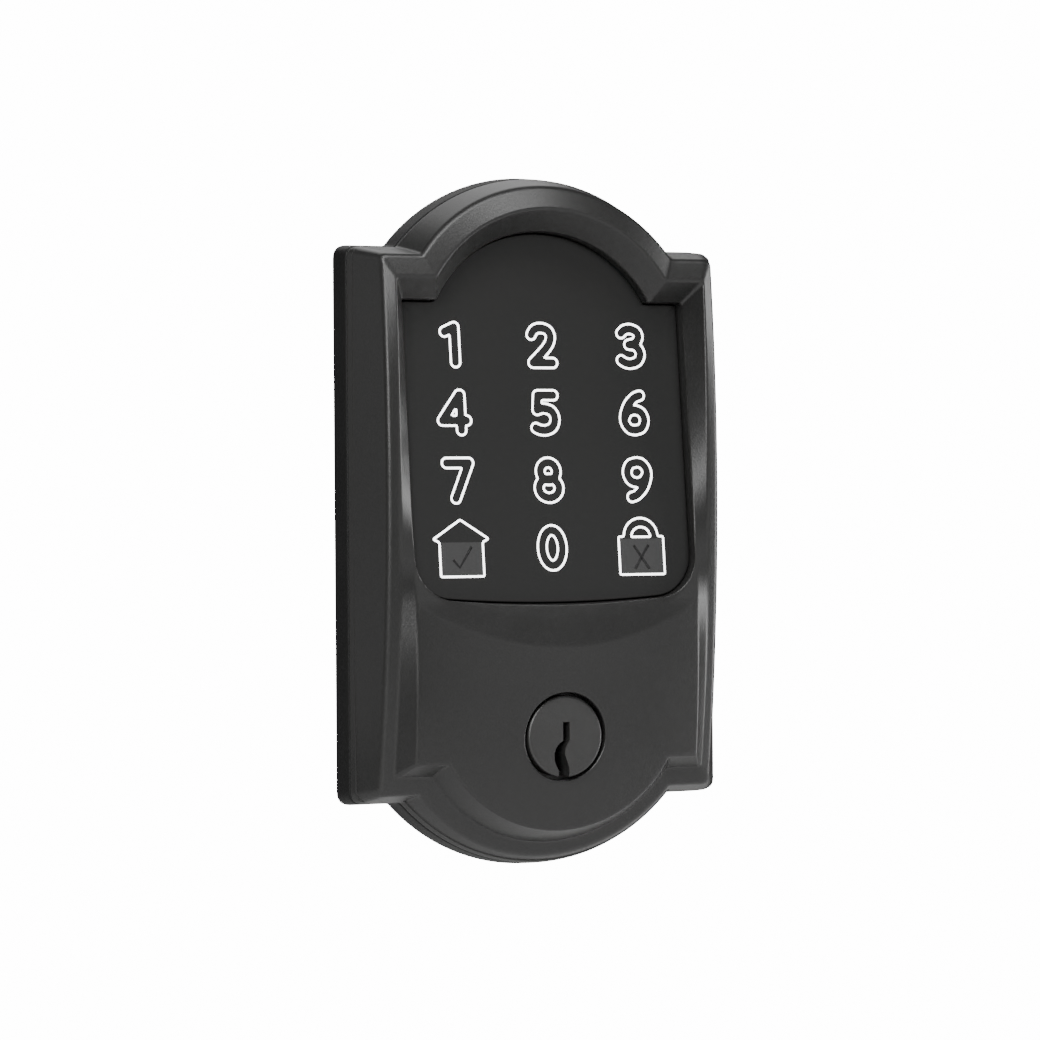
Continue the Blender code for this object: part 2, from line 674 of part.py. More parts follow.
def make_screen(lens_made, tape_made, guide_made, board_made, chip_made, buzzer_made, socket_made):
    prism("touch_lens", screen_outline(LENS_CLEARANCE), behind_screen(LENS_SINK), behind_screen(LENS_BACK), lens_made)
    tape_front = behind_screen(LENS_BACK + GAP)
    tape_back = behind_screen(LENS_BACK + GAP + SEAL_TAPE)
    ring("lens_seal", screen_outline(2 * LENS_CLEARANCE), screen_outline(TAPE_WIDTH), tape_front, tape_back, tape_made)
    guide = screen_outline(LEDGE_WIDTH + GUIDE_CLEARANCE)
    prism("light_guide", guide, behind_screen(GUIDE_FRONT), behind_screen(GUIDE_FRONT + GUIDE_THICKNESS), guide_made)
    board = screen_outline(LEDGE_WIDTH + BOARD_CLEARANCE)
    prism("touch_board", board, behind_screen(BOARD_FRONT), behind_screen(BOARD_BACK), board_made)
    on_board = BOARD_BACK + GAP
    chip = rounded_box(CHIP_SIZE / 2, CHIP_SIZE / 2, 0.3 * MM, 0.0, CHIP_Z, 1)
    prism("touch_chip", chip, behind_screen(on_board), behind_screen(on_board + CHIP_THICKNESS), chip_made)
    buzzer = circle(BUZZER_RADIUS, BUZZER_X, BUZZER_Z, 24)
    prism("buzzer", buzzer, behind_screen(on_board), behind_screen(on_board + BUZZER_THICKNESS), buzzer_made)
    socket = rounded_box(SOCKET_WIDTH / 2, SOCKET_HEIGHT / 2, 0.4 * MM, 0.0, SOCKET_Z, 1)
    body = prism("board_socket", socket, behind_screen(on_board), behind_screen(on_board + SOCKET_THICKNESS), socket_made)
    mouth = rounded_box(SOCKET_WIDTH / 2 - MM, SOCKET_HEIGHT / 2 - MM, 0.3 * MM, 0.0, SOCKET_Z, 1)
    far = behind_screen(on_board + SOCKET_THICKNESS + MM)
    boolean(body, prism("socket_mouth", mouth, behind_screen(on_board + 0.9 * MM), far))


def make_carrier(made):
    """The plastic tray that holds the board against the light guide. Its back is parallel to the door."""
    back = at_depth(CARRIER_BACK_DEPTH)
    tray = prism("keypad_carrier", screen_outline(MM), behind_screen(CARRIER_FRONT), back, made)
    seat = CARRIER_SEAT + LEDGE_WIDTH
    boolean(tray, prism("carrier_hollow", screen_outline(seat), behind_screen(0.0), at_depth(CARRIER_BACK_DEPTH + CARRIER_WALL)))
    half = CABLE_SLOT_WIDTH / 2 - 1.5 * MM
    exit_slot = rounded_box(half, 3.2 * MM, MM, 0.0, SOCKET_Z)
    boolean(tray, prism("carrier_exit", exit_slot, at_depth(CARRIER_BACK_DEPTH + 2 * CARRIER_WALL), at_depth(0.0)))
    lip_top = CABLE_SLOT_Z + CABLE_SLOT_HEIGHT / 2 + GROMMET_LIP
    relief = rounded_box(CABLE_SLOT_WIDTH / 2 + 2 * GROMMET_LIP, CABLE_SLOT_HEIGHT, MM, 0.0, lip_top - CABLE_SLOT_HEIGHT)
    lip_front = PLATE_THICKNESS + GAP + GROMMET_LIP_THICKNESS
    boolean(tray, prism("carrier_relief", relief, at_depth(lip_front + 2 * GAP), at_depth(0.0)))
    for number, (x, z) in enumerate(ear_places(), 1):
        side = math.copysign(1.0, x)
        front = behind_screen(EAR_FRONT)
        rear = behind_screen(EAR_FRONT + CARRIER_EAR_THICKNESS)
        middle = x - side * 2.0 * MM
        ear = rounded_box(CARRIER_EAR_RADIUS + 1.8 * MM, CARRIER_EAR_RADIUS, 1.2 * MM, middle, z)
        boolean(tray, prism(f"ear_{number}", ear, front, rear), "UNION")
        hole = circle(CARRIER_SCREW_RADIUS + GAP, x, z, 12)
        boolean(tray, prism(f"ear_bore_{number}", hole, behind_screen(0.0), behind_screen(2 * LEDGE_BACK)))
    return tray


def make_screws(made):
    for number, (x, z) in enumerate(ear_places(), 1):
        seat = screen_depth(z) - EAR_FRONT - CARRIER_EAR_THICKNESS - GAP - SCREEN_SLOPE * CARRIER_HEAD_RADIUS
        profile = (
            (CARRIER_SCREW_RADIUS, seat + CARRIER_SCREW_LENGTH),
            (CARRIER_SCREW_RADIUS, seat),
            (CARRIER_HEAD_RADIUS, seat),
            (CARRIER_HEAD_RADIUS, seat - CARRIER_HEAD_THICKNESS),
        )
        turned(f"carrier_screw_{number}", profile, x, z, made, 12)
    for number, (x, z) in enumerate(BOSS_PLACES, 1):
        sunk_screw(f"plate_screw_{number}", x, z, PLATE_SCREW_LENGTH, made)
    for number, (x, height) in enumerate(FLANGE_SCREWS, 1):
        length = PLATE_THICKNESS + GAP + FLANGE_THICKNESS + 1.2 * MM
        sunk_screw(f"cylinder_screw_{number}", x, CYLINDER_Z + height, length, made)


def sunk_screw(name, x, z, length, made):
    """A flat-headed screw put in from the door's side, its head just below the plate's back."""
    profile = (
        (PLATE_SCREW_RADIUS, length),
        (PLATE_SCREW_RADIUS, GAP / 2 + PLATE_HEAD_THICKNESS),
        (PLATE_HEAD_RADIUS, GAP / 2 + PLATE_HEAD_THICKNESS),
        (PLATE_HEAD_RADIUS, GAP / 2),
    )
    turned(name, profile, x, z, made, 16)


# ---- door side ------------------------------------------------------------------------------------------------


def make_plate(made):
    outline = mirrored(arch_right(inset(BACK, SEAL_WIDTH + GAP)))
    plate = prism("back_plate", outline, at_depth(PLATE_THICKNESS), at_depth(0.0), made)
    through = (at_depth(PLATE_THICKNESS + OVERCUT), at_depth(-OVERCUT))
    opening = keyhole(BARREL_RADIUS + 2 * GAP, BIBLE_HALF_WIDTH + 2 * GAP, bible_cover_top() + 2 * GAP)
    boolean(plate, prism("plate_opening", opening, *through))
    slot = rounded_box(CABLE_SLOT_WIDTH / 2, CABLE_SLOT_HEIGHT / 2, 2.0 * MM, 0.0, CABLE_SLOT_Z)
    boolean(plate, prism("plate_slot", slot, *through))
    for side, x in (("left", -POST_X), ("right", POST_X)):
        boolean(plate, prism(f"post_hole_{side}", circle(POST_NECK_RADIUS + GAP, x, CYLINDER_Z, 20), *through))
    screws = list(BOSS_PLACES) + [(x, CYLINDER_Z + height) for x, height in FLANGE_SCREWS]
    head_floor = PLATE_HEAD_THICKNESS + 1.5 * GAP
    for number, (x, z) in enumerate(screws, 1):
        profile = (
            (PLATE_SCREW_RADIUS + GAP, PLATE_THICKNESS + MM),
            (PLATE_SCREW_RADIUS + GAP, head_floor),
            (PLATE_HEAD_RADIUS + GAP, head_floor),
            (PLATE_HEAD_RADIUS + GAP, -MM),
        )
        boolean(plate, turned(f"screw_seat_{number}", profile, x, z, steps=20))
    return plate


def make_seal(made):
    outer = mirrored(arch_right(BACK))
    inner = mirrored(arch_right(inset(BACK, SEAL_WIDTH)))
    drafted = mirrored(arch_right(inset(BACK, SEAL_DRAFT)))
    ring("weather_seal", outer, inner, at_depth(SEAL_DEPTH), at_depth(0.0), made, drafted)


def make_posts(made):
    for side, x in (("left", -POST_X), ("right", POST_X)):
        profile = (
            (POST_HEAD_RADIUS, PLATE_THICKNESS + GAP + POST_HEAD_THICKNESS),
            (POST_HEAD_RADIUS, PLATE_THICKNESS + GAP),
            (POST_NECK_RADIUS, PLATE_THICKNESS + GAP),
            (POST_NECK_RADIUS, -GAP),
            (POST_RADIUS, -GAP),
            (POST_RADIUS, -POST_LENGTH),
            (POST_THREAD_RADIUS, -POST_LENGTH),
            (POST_THREAD_RADIUS, -POST_LENGTH + POST_THREAD_DEPTH),
        )
        turned(f"mounting_post_{side}", profile, x, CYLINDER_Z, made, 24)


def make_grommet(made):
    """Rubber lining of the cable slot: a sleeve through the plate with a lip on the inside."""
    sleeve_half = (CABLE_SLOT_WIDTH / 2 - GAP, CABLE_SLOT_HEIGHT / 2 - GAP)
    hole_half = (sleeve_half[0] - GROMMET_WALL, sleeve_half[1] - GROMMET_WALL)
    lip_half = (sleeve_half[0] + GROMMET_LIP, sleeve_half[1] + GROMMET_LIP / 2)
    corner = 2.0 * MM - GAP
    sleeve, hole, lip = (
        rounded_box(half[0], half[1], radius, 0.0, CABLE_SLOT_Z)
        for half, radius in ((sleeve_half, corner), (hole_half, corner - GROMMET_WALL), (lip_half, corner + GROMMET_LIP / 2))
    )
    lip_back = PLATE_THICKNESS + GAP
    lip_front = lip_back + GROMMET_LIP_THICKNESS
    bm = bmesh.new()
    stations = ((hole, lip_front), (lip, lip_front), (lip, lip_back), (sleeve, lip_back), (sleeve, 0.0), (hole, 0.0))
    loops = [loop(bm, outline, at_depth(depth)) for outline, depth in stations]
    bridge(bm, *loops, loops[0])
    add_object("cable_grommet", bm, made)


# ---- key cylinder ---------------------------------------------------------------------------------------------


def pin_y(index):
    return -(PLUG_FACE_DEPTH - FIRST_PIN - index * PIN_PITCH)


def bible_cover_top():
    return BIBLE_TOP + GAP + PIN_COVER_THICKNESS


def nose_depth():
    return PLUG_FACE_DEPTH - PLUG_FACE_THICKNESS - GAP


def make_cylinder_body(made):
    profile = ((BARREL_RADIUS, nose_depth()), (BARREL_RADIUS, -BARREL_BACK))
    body = turned("cylinder_body", profile, 0.0, CYLINDER_Z, made)
    bible_z = CYLINDER_Z + BIBLE_TOP / 2
    bible = rounded_box(BIBLE_HALF_WIDTH, BIBLE_TOP / 2, 0.4 * MM, 0.0, bible_z, 1)
    boolean(body, prism("bible", bible, at_depth(BIBLE_FRONT_DEPTH), at_depth(-BIBLE_BACK)), "UNION")
    flange_back = PLATE_THICKNESS + GAP
    flange = rounded_box(FLANGE_HALF_WIDTH, FLANGE_HALF_HEIGHT, 3.0 * MM, 0.0, CYLINDER_Z)
    flange_solid = prism("flange", flange, at_depth(flange_back + FLANGE_THICKNESS), at_depth(flange_back))
    boolean(body, flange_solid, "UNION")
    bore = ((PLUG_RADIUS + PLUG_CLEARANCE, BIB_DEPTH), (PLUG_RADIUS + PLUG_CLEARANCE, -BARREL_BACK - MM))
    boolean(body, turned("plug_bore", bore, 0.0, CYLINDER_Z))
    for index in range(PIN_COUNT):
        profile = ((CHAMBER_RADIUS, CYLINDER_Z + 3.0 * MM), (CHAMBER_RADIUS, CYLINDER_Z + BIBLE_TOP + MM))
        boolean(body, upright(f"driver_chamber_{index + 1}", profile, 0.0, pin_y(index), steps=16))
    for number, (x, height) in enumerate(FLANGE_SCREWS, 1):
        hole = circle(PLATE_SCREW_RADIUS + GAP, x, CYLINDER_Z + height, 12)
        boolean(body, prism(f"flange_hole_{number}", hole, at_depth(SEAL_DEPTH), at_depth(0.0)))
    return body


def make_plug(made):
    """The plug that the key turns, with its keyway, five pin chambers and the lug that drives the tailpiece."""
    front = PLUG_FACE_DEPTH
    flange_back = front - PLUG_FACE_THICKNESS
    body_back = -BARREL_BACK - GAP
    neck_back = body_back - TAIL_NECK_LENGTH
    profile = (
        (PLUG_FACE_RADIUS, front),
        (PLUG_FACE_RADIUS, flange_back),
        (PLUG_RADIUS, flange_back),
        (PLUG_RADIUS, body_back),
        (TAIL_NECK_RADIUS, body_back),
        (TAIL_NECK_RADIUS, neck_back),
    )
    plug = turned("cylinder_plug", profile, 0.0, CYLINDER_Z, made)
    outline = [(x * MM, CYLINDER_Z + z * MM) for x, z in KEYWAY_RIGHT + KEYWAY_LEFT]
    boolean(plug, prism("keyway", outline, at_depth(front + MM), at_depth(front - KEYWAY_DEPTH)))
    for index in range(PIN_COUNT):
        profile = ((CHAMBER_RADIUS, CYLINDER_Z + CHAMBER_FLOOR), (CHAMBER_RADIUS, CYLINDER_Z + PLUG_FACE_RADIUS))
        boolean(plug, upright(f"key_chamber_{index + 1}", profile, 0.0, pin_y(index), steps=16))
    lug = sector(LUG_INNER, LUG_OUTER, -LUG_ANGLE / 2, LUG_ANGLE / 2, 5)
    boolean(plug, prism("lug", lug, at_depth(neck_back + 0.3 * MM), at_depth(neck_back - LUG_LENGTH)), "UNION")
    move_origin(plug, Vector((0.0, 0.0, CYLINDER_Z)))
    return plug


def sector(inner, outer, start, end, steps):
    """Part of a ring about the cylinder's axis, between two angles counted from straight down towards -X."""
    angles = [start + (end - start) * i / steps for i in range(steps + 1)]
    outside = [(-outer * math.sin(a), CYLINDER_Z - outer * math.cos(a)) for a in angles]
    inside = [(-inner * math.sin(a), CYLINDER_Z - inner * math.cos(a)) for a in reversed(angles)]
    return outside + inside


def make_pins(key_made, driver_made, spring_made, cover_made):
    cover_bottom = CYLINDER_Z + BIBLE_TOP + GAP
    for index, length in zip(range(PIN_COUNT), KEY_PIN_LENGTHS):
        y = pin_y(index)
        top = CYLINDER_Z + KEY_PIN_TOP
        tip = top - length
        profile = ((0.5 * MM, tip), (PIN_RADIUS, tip + 0.8 * MM), (PIN_RADIUS, top))
        pin = upright(f"key_pin_{index + 1}", profile, 0.0, y, key_made, 14)
        move_origin(pin, Vector((0.0, y, top)))
        low = CYLINDER_Z + DRIVER_BOTTOM
        high = low + DRIVER_LENGTH
        profile = ((PIN_RADIUS, low), (PIN_RADIUS, high))
        pin = upright(f"driver_pin_{index + 1}", profile, 0.0, y, driver_made, 14)
        move_origin(pin, Vector((0.0, y, low)))
        make_spring(index, y, high + GAP + SPRING_WIRE, cover_bottom - GAP - SPRING_WIRE, spring_made)
    strip = rounded_box(PIN_COVER_HALF_WIDTH, PIN_COVER_THICKNESS / 2, 0.2 * MM, 0.0, cover_bottom + PIN_COVER_THICKNESS / 2, 1)
    prism("pin_cover", strip, at_depth(BIBLE_FRONT_DEPTH - 0.6 * MM), at_depth(-BIBLE_BACK + 0.6 * MM), cover_made)


def make_spring(index, y, bottom, top, made):
    points = 30
    curve = bpy.data.curves.new(f"pin_spring_{index + 1}", "CURVE")
    curve.dimensions = "3D"
    curve.bevel_depth = SPRING_WIRE
    curve.bevel_resolution = 1
    curve.use_fill_caps = True
    spline = curve.splines.new("POLY")
    spline.points.add(points - 1)
    for i, point in enumerate(spline.points):
        share = i / (points - 1)
        angle = 2 * math.pi * SPRING_TURNS * share
        x, depth_shift = SPRING_RADIUS * math.cos(angle), SPRING_RADIUS * math.sin(angle)
        point.co = (x, y + depth_shift, bottom + (top - bottom) * share, 1.0)
    curve.materials.append(made)
    obj = bpy.data.objects.new(curve.name, curve)
    bpy.context.scene.collection.objects.link(obj)


def make_tail(cap_made, tail_made):
    axis = Vector((0.0, 0.0, CYLINDER_Z))
    body_back = -BARREL_BACK - GAP
    neck_back = body_back - TAIL_NECK_LENGTH
    cap_front = body_back - GAP
    head_front = neck_back - GAP / 2
    head_back = head_front - HEAD_THICKNESS
    wall_front = min(head_back, neck_back - LUG_LENGTH) - GAP
    cap_inner = TAIL_NECK_RADIUS + GAP
    profile = (
        (cap_inner, cap_front),
        (CAP_RADIUS, cap_front),
        (CAP_RADIUS, wall_front - CAP_WALL),
        (CAP_HOLE_RADIUS, wall_front - CAP_WALL),
        (CAP_HOLE_RADIUS, wall_front),
        (cap_inner, wall_front),
    )
    bm = bmesh.new()
    loops = [loop(bm, circle(radius, 0.0, CYLINDER_Z), at_depth(depth)) for radius, depth in profile]
    bridge(bm, *loops, loops[0])
    plug_cap = add_object("plug_cap", bm, cap_made)
    move_origin(plug_cap, axis)

    free = LUG_ANGLE / 2 + LUG_CLEARANCE
    solid = sector(0.0, HEAD_RADIUS, LOST_MOTION + free, 2 * math.pi - free, 24)[:-24]
    tailpiece = prism("tailpiece", solid, at_depth(head_front), at_depth(head_back), tail_made)
    hub = circle(HEAD_HUB_RADIUS, 0.0, CYLINDER_Z, 20)
    hub_back = wall_front - CAP_WALL / 2
    boolean(tailpiece, prism("tail_hub", hub, at_depth(head_front), at_depth(hub_back)), "UNION")
    blade = rounded_box(BLADE_THICKNESS / 2, BLADE_HALF_WIDTH, 0.4 * MM, 0.0, CYLINDER_Z, 1)
    boolean(tailpiece, prism("tail_blade", blade, at_depth(wall_front), at_depth(-BLADE_END)), "UNION")
    move_origin(tailpiece, axis)


# ---- the object -----------------------------------------------------------------------------------------------


def clear_scene():
    for obj in list(bpy.data.objects):
        bpy.data.objects.remove(obj, do_unlink=True)


def build():
    clear_scene()
    black = material("matte_black_paint", (0.032, 0.032, 0.031), 0.42, 0.3)
    rubber = material("black_rubber", (0.014, 0.014, 0.013), 0.8)
    lens = material("smoked_lens", (0.03, 0.03, 0.029), 0.35)
    tape = material("foam_tape", (0.02, 0.02, 0.02), 0.9)
    guide = material("light_guide_acrylic", (0.8, 0.8, 0.78), 0.3)
    board = material("circuit_board", (0.02, 0.12, 0.05), 0.45)
    plastic = material("black_plastic", (0.02, 0.02, 0.02), 0.5)
    steel = material("zinc_plated_steel", (0.6, 0.6, 0.58), 0.35, 1.0)
    brass = material("brass", (0.72, 0.52, 0.22), 0.3, 1.0)
    plug = material("blackened_brass", (0.03, 0.03, 0.029), 0.4, 0.3)
    spring = material("spring_wire", (0.7, 0.68, 0.64), 0.25, 1.0)

    make_seal(rubber)
    make_cover(black)
    make_screen(lens, tape, guide, board, plastic, plastic, plastic)
    make_carrier(plastic)
    make_plate(steel)
    make_posts(steel)
    make_grommet(rubber)
    make_screws(steel)
    make_cylinder_body(brass)
    make_plug(plug)
    make_pins(brass, brass, spring, brass)
    make_tail(brass, steel)


build()
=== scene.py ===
"""Keypad deadbolt, outside unit.

Satin black die-cast cover, smoked touch screen, key cylinder and mounting parts, in metres.
"""

import math

import bmesh
import bpy
import numpy as np
from mathutils import Matrix, Vector


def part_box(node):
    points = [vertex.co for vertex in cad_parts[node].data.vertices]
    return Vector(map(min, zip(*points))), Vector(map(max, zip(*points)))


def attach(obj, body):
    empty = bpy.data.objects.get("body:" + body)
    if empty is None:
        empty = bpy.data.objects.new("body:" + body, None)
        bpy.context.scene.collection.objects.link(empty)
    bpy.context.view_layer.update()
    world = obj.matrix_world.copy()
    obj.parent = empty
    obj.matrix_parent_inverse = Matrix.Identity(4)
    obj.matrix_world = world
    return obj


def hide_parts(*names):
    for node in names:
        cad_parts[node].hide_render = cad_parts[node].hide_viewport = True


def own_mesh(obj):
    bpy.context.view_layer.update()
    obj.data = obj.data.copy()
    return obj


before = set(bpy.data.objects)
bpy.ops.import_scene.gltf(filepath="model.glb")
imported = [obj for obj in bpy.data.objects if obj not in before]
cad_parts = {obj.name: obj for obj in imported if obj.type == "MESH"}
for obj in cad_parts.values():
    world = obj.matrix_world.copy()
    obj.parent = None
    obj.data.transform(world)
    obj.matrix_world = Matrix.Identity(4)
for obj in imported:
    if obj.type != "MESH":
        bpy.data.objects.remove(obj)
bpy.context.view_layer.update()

MM = 0.001


# ---- rubber band between the cover and the door --------------------------------------------------
# A moulded EPDM band that runs round the whole back edge and is squeezed between the cover and the door.
# Its outline is the cover's own: square shoulders with a segment of a circle above and below.


def turn_points(before, corner, after, reach, steps):
    """A rounded corner: points on a curve that leaves both edges reach before their corner."""
    start = corner + (before - corner).normalized() * reach
    end = corner + (after - corner).normalized() * reach
    shares = [i / steps for i in range(steps + 1)]
    return [start * (1 - t) ** 2 + corner * 2 * t * (1 - t) + end * t**2 for t in shares]


ARC_STEPS = 26
INNER_CORNER = 0.45 * MM


def arc_radius(half, rise):
    """Radius of an arc that spans half to each side of its top and falls by rise."""
    return (half**2 + rise**2) / (2 * rise)


def end_points(half_width, shoulder, arc_half, apex, corner):
    """Right half of an end, from the arc's top out to the start of the straight side."""
    radius = arc_radius(arc_half, apex - shoulder)
    sweep = math.asin(arc_half / radius)
    arc = []
    for i in range(ARC_STEPS + 1):
        angle = sweep * i / ARC_STEPS
        arc.append(Vector((radius * math.sin(angle), apex - radius + radius * math.cos(angle))))
    shoulder_start = Vector((arc_half, shoulder))
    inner = turn_points(arc[-2], shoulder_start, Vector((half_width, shoulder)), INNER_CORNER, 3)
    outer_corner = Vector((half_width, shoulder))
    outer = turn_points(inner[-1], outer_corner, Vector((half_width, 0)), corner, 6)
    between = [inner[-1].lerp(outer[0], t) for t in (0.12, 0.5, 0.88)]
    return arc[:-1] + inner + between + outer


def spread(start, end, steps):
    """Even steps from start, left out, to end."""
    return [start + (end - start) * i / steps for i in range(1, steps + 1)]


SCREEN_CORNER_Z = -6.2 * MM  # where the screen's lower corners start to turn
BIB_TOP_Z = -14.8 * MM


def right_half(size, distance=0.0):
    """Points of the outline's right half from top to bottom, moved inwards by distance.

    The size is half the width; shoulder, half the arc's width and apex of the upper end, then of the
    lower end, all as heights from the middle; and the outer corner's rounding.
    """
    half_width, top_shoulder, top_half, top_apex, low_shoulder, low_half, low_apex, corner = size
    ends = []
    for shoulder, half, apex in (
        (top_shoulder, top_half, top_apex),
        (low_shoulder, low_half, low_apex),
    ):
        radius = arc_radius(half, apex - shoulder)
        inside = math.sqrt((radius - distance) ** 2 - (shoulder - distance - apex + radius) ** 2)
        reach = max(corner - 0.4 * distance, 0.5 * MM)
        edge_x = half_width - distance
        ends.append(end_points(edge_x, shoulder - distance, inside, apex - distance, reach))
    top, low = ends
    levels = spread(top[-1].y, SCREEN_CORNER_Z, 14) + spread(SCREEN_CORNER_Z, BIB_TOP_Z, 8)
    levels += spread(BIB_TOP_Z, -low[-1].y, 10)[:-1]
    side = [Vector((half_width - distance, level)) for level in levels]
    return top + side + [Vector((p.x, -p.y)) for p in reversed(low)]


def whole(half):
    """The right half with its mirror image, as one closed loop."""
    return half + [Vector((-p.x, p.y)) for p in reversed(half[1:-1])]


def at_depth(points, depth):
    """The outline in space. Depth is a number or a function of x and z, counted from the door."""
    return [Vector((p.x, -(depth(p.x, p.y) if callable(depth) else depth), p.y)) for p in points]


def eased(before, edge, after, reach, steps=3):
    """Loops that round the edge between two faces.

    Edge is the sharp line, with the lines next to it before and after. The reach is a distance, or a
    list with one for each point.
    """
    loops = [[] for _ in range(steps + 1)]
    reaches = reach if isinstance(reach, list) else [reach] * len(edge)
    for a, b, c, most in zip(before, edge, after, reaches):
        near = b + (a - b).normalized() * min(most, (a - b).length * 0.45)
        far = b + (c - b).normalized() * min(most, (c - b).length * 0.45)
        for i, loop in enumerate(loops):
            t = i / steps
            loop.append(near * (1 - t) ** 2 + b * 2 * t * (1 - t) + far * t**2)
    return loops


def closed_ring(bm, points):
    """New corners at the points, joined to a ring."""
    corners = [bm.verts.new(p) for p in points]
    for i in range(len(corners)):
        bm.edges.new((corners[i - 1], corners[i]))
    return corners


def loft(bm, rings):
    """A skin of four-sided faces through closed rings with the same number of points."""
    for first, second in zip(rings, rings[1:]):
        for i in range(len(first)):
            bm.faces.new((first[i - 1], first[i], second[i], second[i - 1]))


def finish_mesh(name, bm, material, smooth=True):
    """The mesh as an object in the scene, with its faces turned outwards."""
    bmesh.ops.remove_doubles(bm, verts=bm.verts, dist=1e-6)
    bmesh.ops.recalc_face_normals(bm, faces=bm.faces)
    mesh = bpy.data.meshes.new(name)
    bm.to_mesh(mesh)
    bm.free()
    mesh.materials.append(material)
    if smooth:
        mesh.shade_smooth()
    piece = bpy.data.objects.new(name, mesh)
    bpy.context.scene.collection.objects.link(piece)
    return piece


def flatten_shading(piece):
    """Keeps the wide faces flat up to their rounded edges."""
    weighted = piece.modifiers.new("flat_faces", "WEIGHTED_NORMAL")
    weighted.weight = 80
    weighted.keep_sharp = True


def build_surface_group():
    """Fine mottling, roughness and grain shared by the paints, metals and plastics."""
    group = bpy.data.node_groups.new("surface_detail", "ShaderNodeTree")
    face = group.interface
    face.new_socket("Color", in_out="INPUT", socket_type="NodeSocketColor")
    for name, value in (
        ("Mottle", 0.06),
        ("Mottle Scale", 120.0),
        ("Roughness", 0.4),
        ("Roughness Spread", 0.05),
        ("Grain Scale", 2500.0),
        ("Grain Depth", 0.02),
        ("Brush", 0.0),
    ):
        made = face.new_socket(name, in_out="INPUT", socket_type="NodeSocketFloat")
        made.default_value = value
    face.new_socket("Color", in_out="OUTPUT", socket_type="NodeSocketColor")
    face.new_socket("Roughness", in_out="OUTPUT", socket_type="NodeSocketFloat")
    face.new_socket("Normal", in_out="OUTPUT", socket_type="NodeSocketVector")
    nodes, links = group.nodes, group.links
    given = nodes.new("NodeGroupInput")
    result = nodes.new("NodeGroupOutput")
    place = nodes.new("ShaderNodeTexCoord")
    mottle = nodes.new("ShaderNodeTexNoise")
    mottle.inputs["Detail"].default_value = 4.0
    mottle.inputs["Roughness"].default_value = 0.6
    grain = nodes.new("ShaderNodeTexNoise")
    grain.inputs["Detail"].default_value = 2.0
    stretch = nodes.new("ShaderNodeMapping")
    stretch.inputs["Scale"].default_value = (1.0, 1.0, 0.03)
    brushed = nodes.new("ShaderNodeTexNoise")
    brushed.inputs["Detail"].default_value = 3.0
    for source, target in (
        (place.outputs["Object"], mottle.inputs["Vector"]),
        (place.outputs["Object"], grain.inputs["Vector"]),
        (place.outputs["Object"], stretch.inputs["Vector"]),
        (stretch.outputs["Vector"], brushed.inputs["Vector"]),
        (given.outputs["Mottle Scale"], mottle.inputs["Scale"]),
        (given.outputs["Grain Scale"], grain.inputs["Scale"]),
        (given.outputs["Grain Scale"], brushed.inputs["Scale"]),
    ):
        links.new(source, target)

    def maths(operation, first, second):
        node = nodes.new("ShaderNodeMath")
        node.operation = operation
        for socket, value in zip(node.inputs, (first, second)):
            if isinstance(value, float):
                socket.default_value = value
            else:
                links.new(value, socket)
        return node.outputs[0]

    wave = maths("SUBTRACT", mottle.outputs["Fac"], 0.5)
    shade = maths("ADD", maths("MULTIPLY", wave, maths("MULTIPLY", given.outputs["Mottle"], 4.0)), 1.0)
    tint = nodes.new("ShaderNodeVectorMath")
    tint.operation = "SCALE"
    links.new(given.outputs["Color"], tint.inputs[0])
    links.new(shade, tint.inputs["Scale"])
    links.new(tint.outputs["Vector"], result.inputs["Color"])
    rough = maths("MULTIPLY", wave, maths("MULTIPLY", given.outputs["Roughness Spread"], 4.0))
    fine = maths("MULTIPLY", maths("SUBTRACT", grain.outputs["Fac"], 0.5), given.outputs["Roughness Spread"])
    links.new(maths("ADD", maths("ADD", rough, fine), given.outputs["Roughness"]), result.inputs["Roughness"])
    plain = maths("MULTIPLY", grain.outputs["Fac"], maths("SUBTRACT", 1.0, given.outputs["Brush"]))
    lines = maths("MULTIPLY", brushed.outputs["Fac"], given.outputs["Brush"])
    bump = nodes.new("ShaderNodeBump")
    bump.inputs["Distance"].default_value = 0.0002
    links.new(given.outputs["Grain Depth"], bump.inputs["Strength"])
    links.new(maths("ADD", plain, lines), bump.inputs["Height"])
    links.new(bump.outputs["Normal"], result.inputs["Normal"])
    return group


surface_detail = build_surface_group()


def make_material(name, color, metallic=0.0, specular=0.5, coat=0.0, **detail):
    """A shader fed by the surface group. The detail sets the group's inputs by their names."""
    made = bpy.data.materials.new(name)
    made.use_nodes = True
    nodes, links = made.node_tree.nodes, made.node_tree.links
    shader = nodes["Principled BSDF"]
    shader.inputs["Metallic"].default_value = metallic
    shader.inputs["Specular IOR Level"].default_value = specular
    shader.inputs["Coat Weight"].default_value = coat
    shader.inputs["Coat Roughness"].default_value = 0.2
    group = nodes.new("ShaderNodeGroup")
    group.node_tree = surface_detail
    group.inputs["Color"].default_value = (*color, 1.0)
    for key, value in detail.items():
        group.inputs[key.replace("_", " ").title()].default_value = value
    links.new(group.outputs["Color"], shader.inputs["Base Color"])
    links.new(group.outputs["Roughness"], shader.inputs["Roughness"])
    links.new(group.outputs["Normal"], shader.inputs["Normal"])
    made.diffuse_color = (*color, 1.0)
    return made


SEAL_TOP = 5.1 * MM
SEAL_DRAFT = 0.5 * MM
SEAL_WIDTH = 3.6 * MM
BACK_SIZE = [v * MM for v in (37.4, 50.5, 27.4, 63.5, 51.4, 27.4, 63.5, 2.6)]

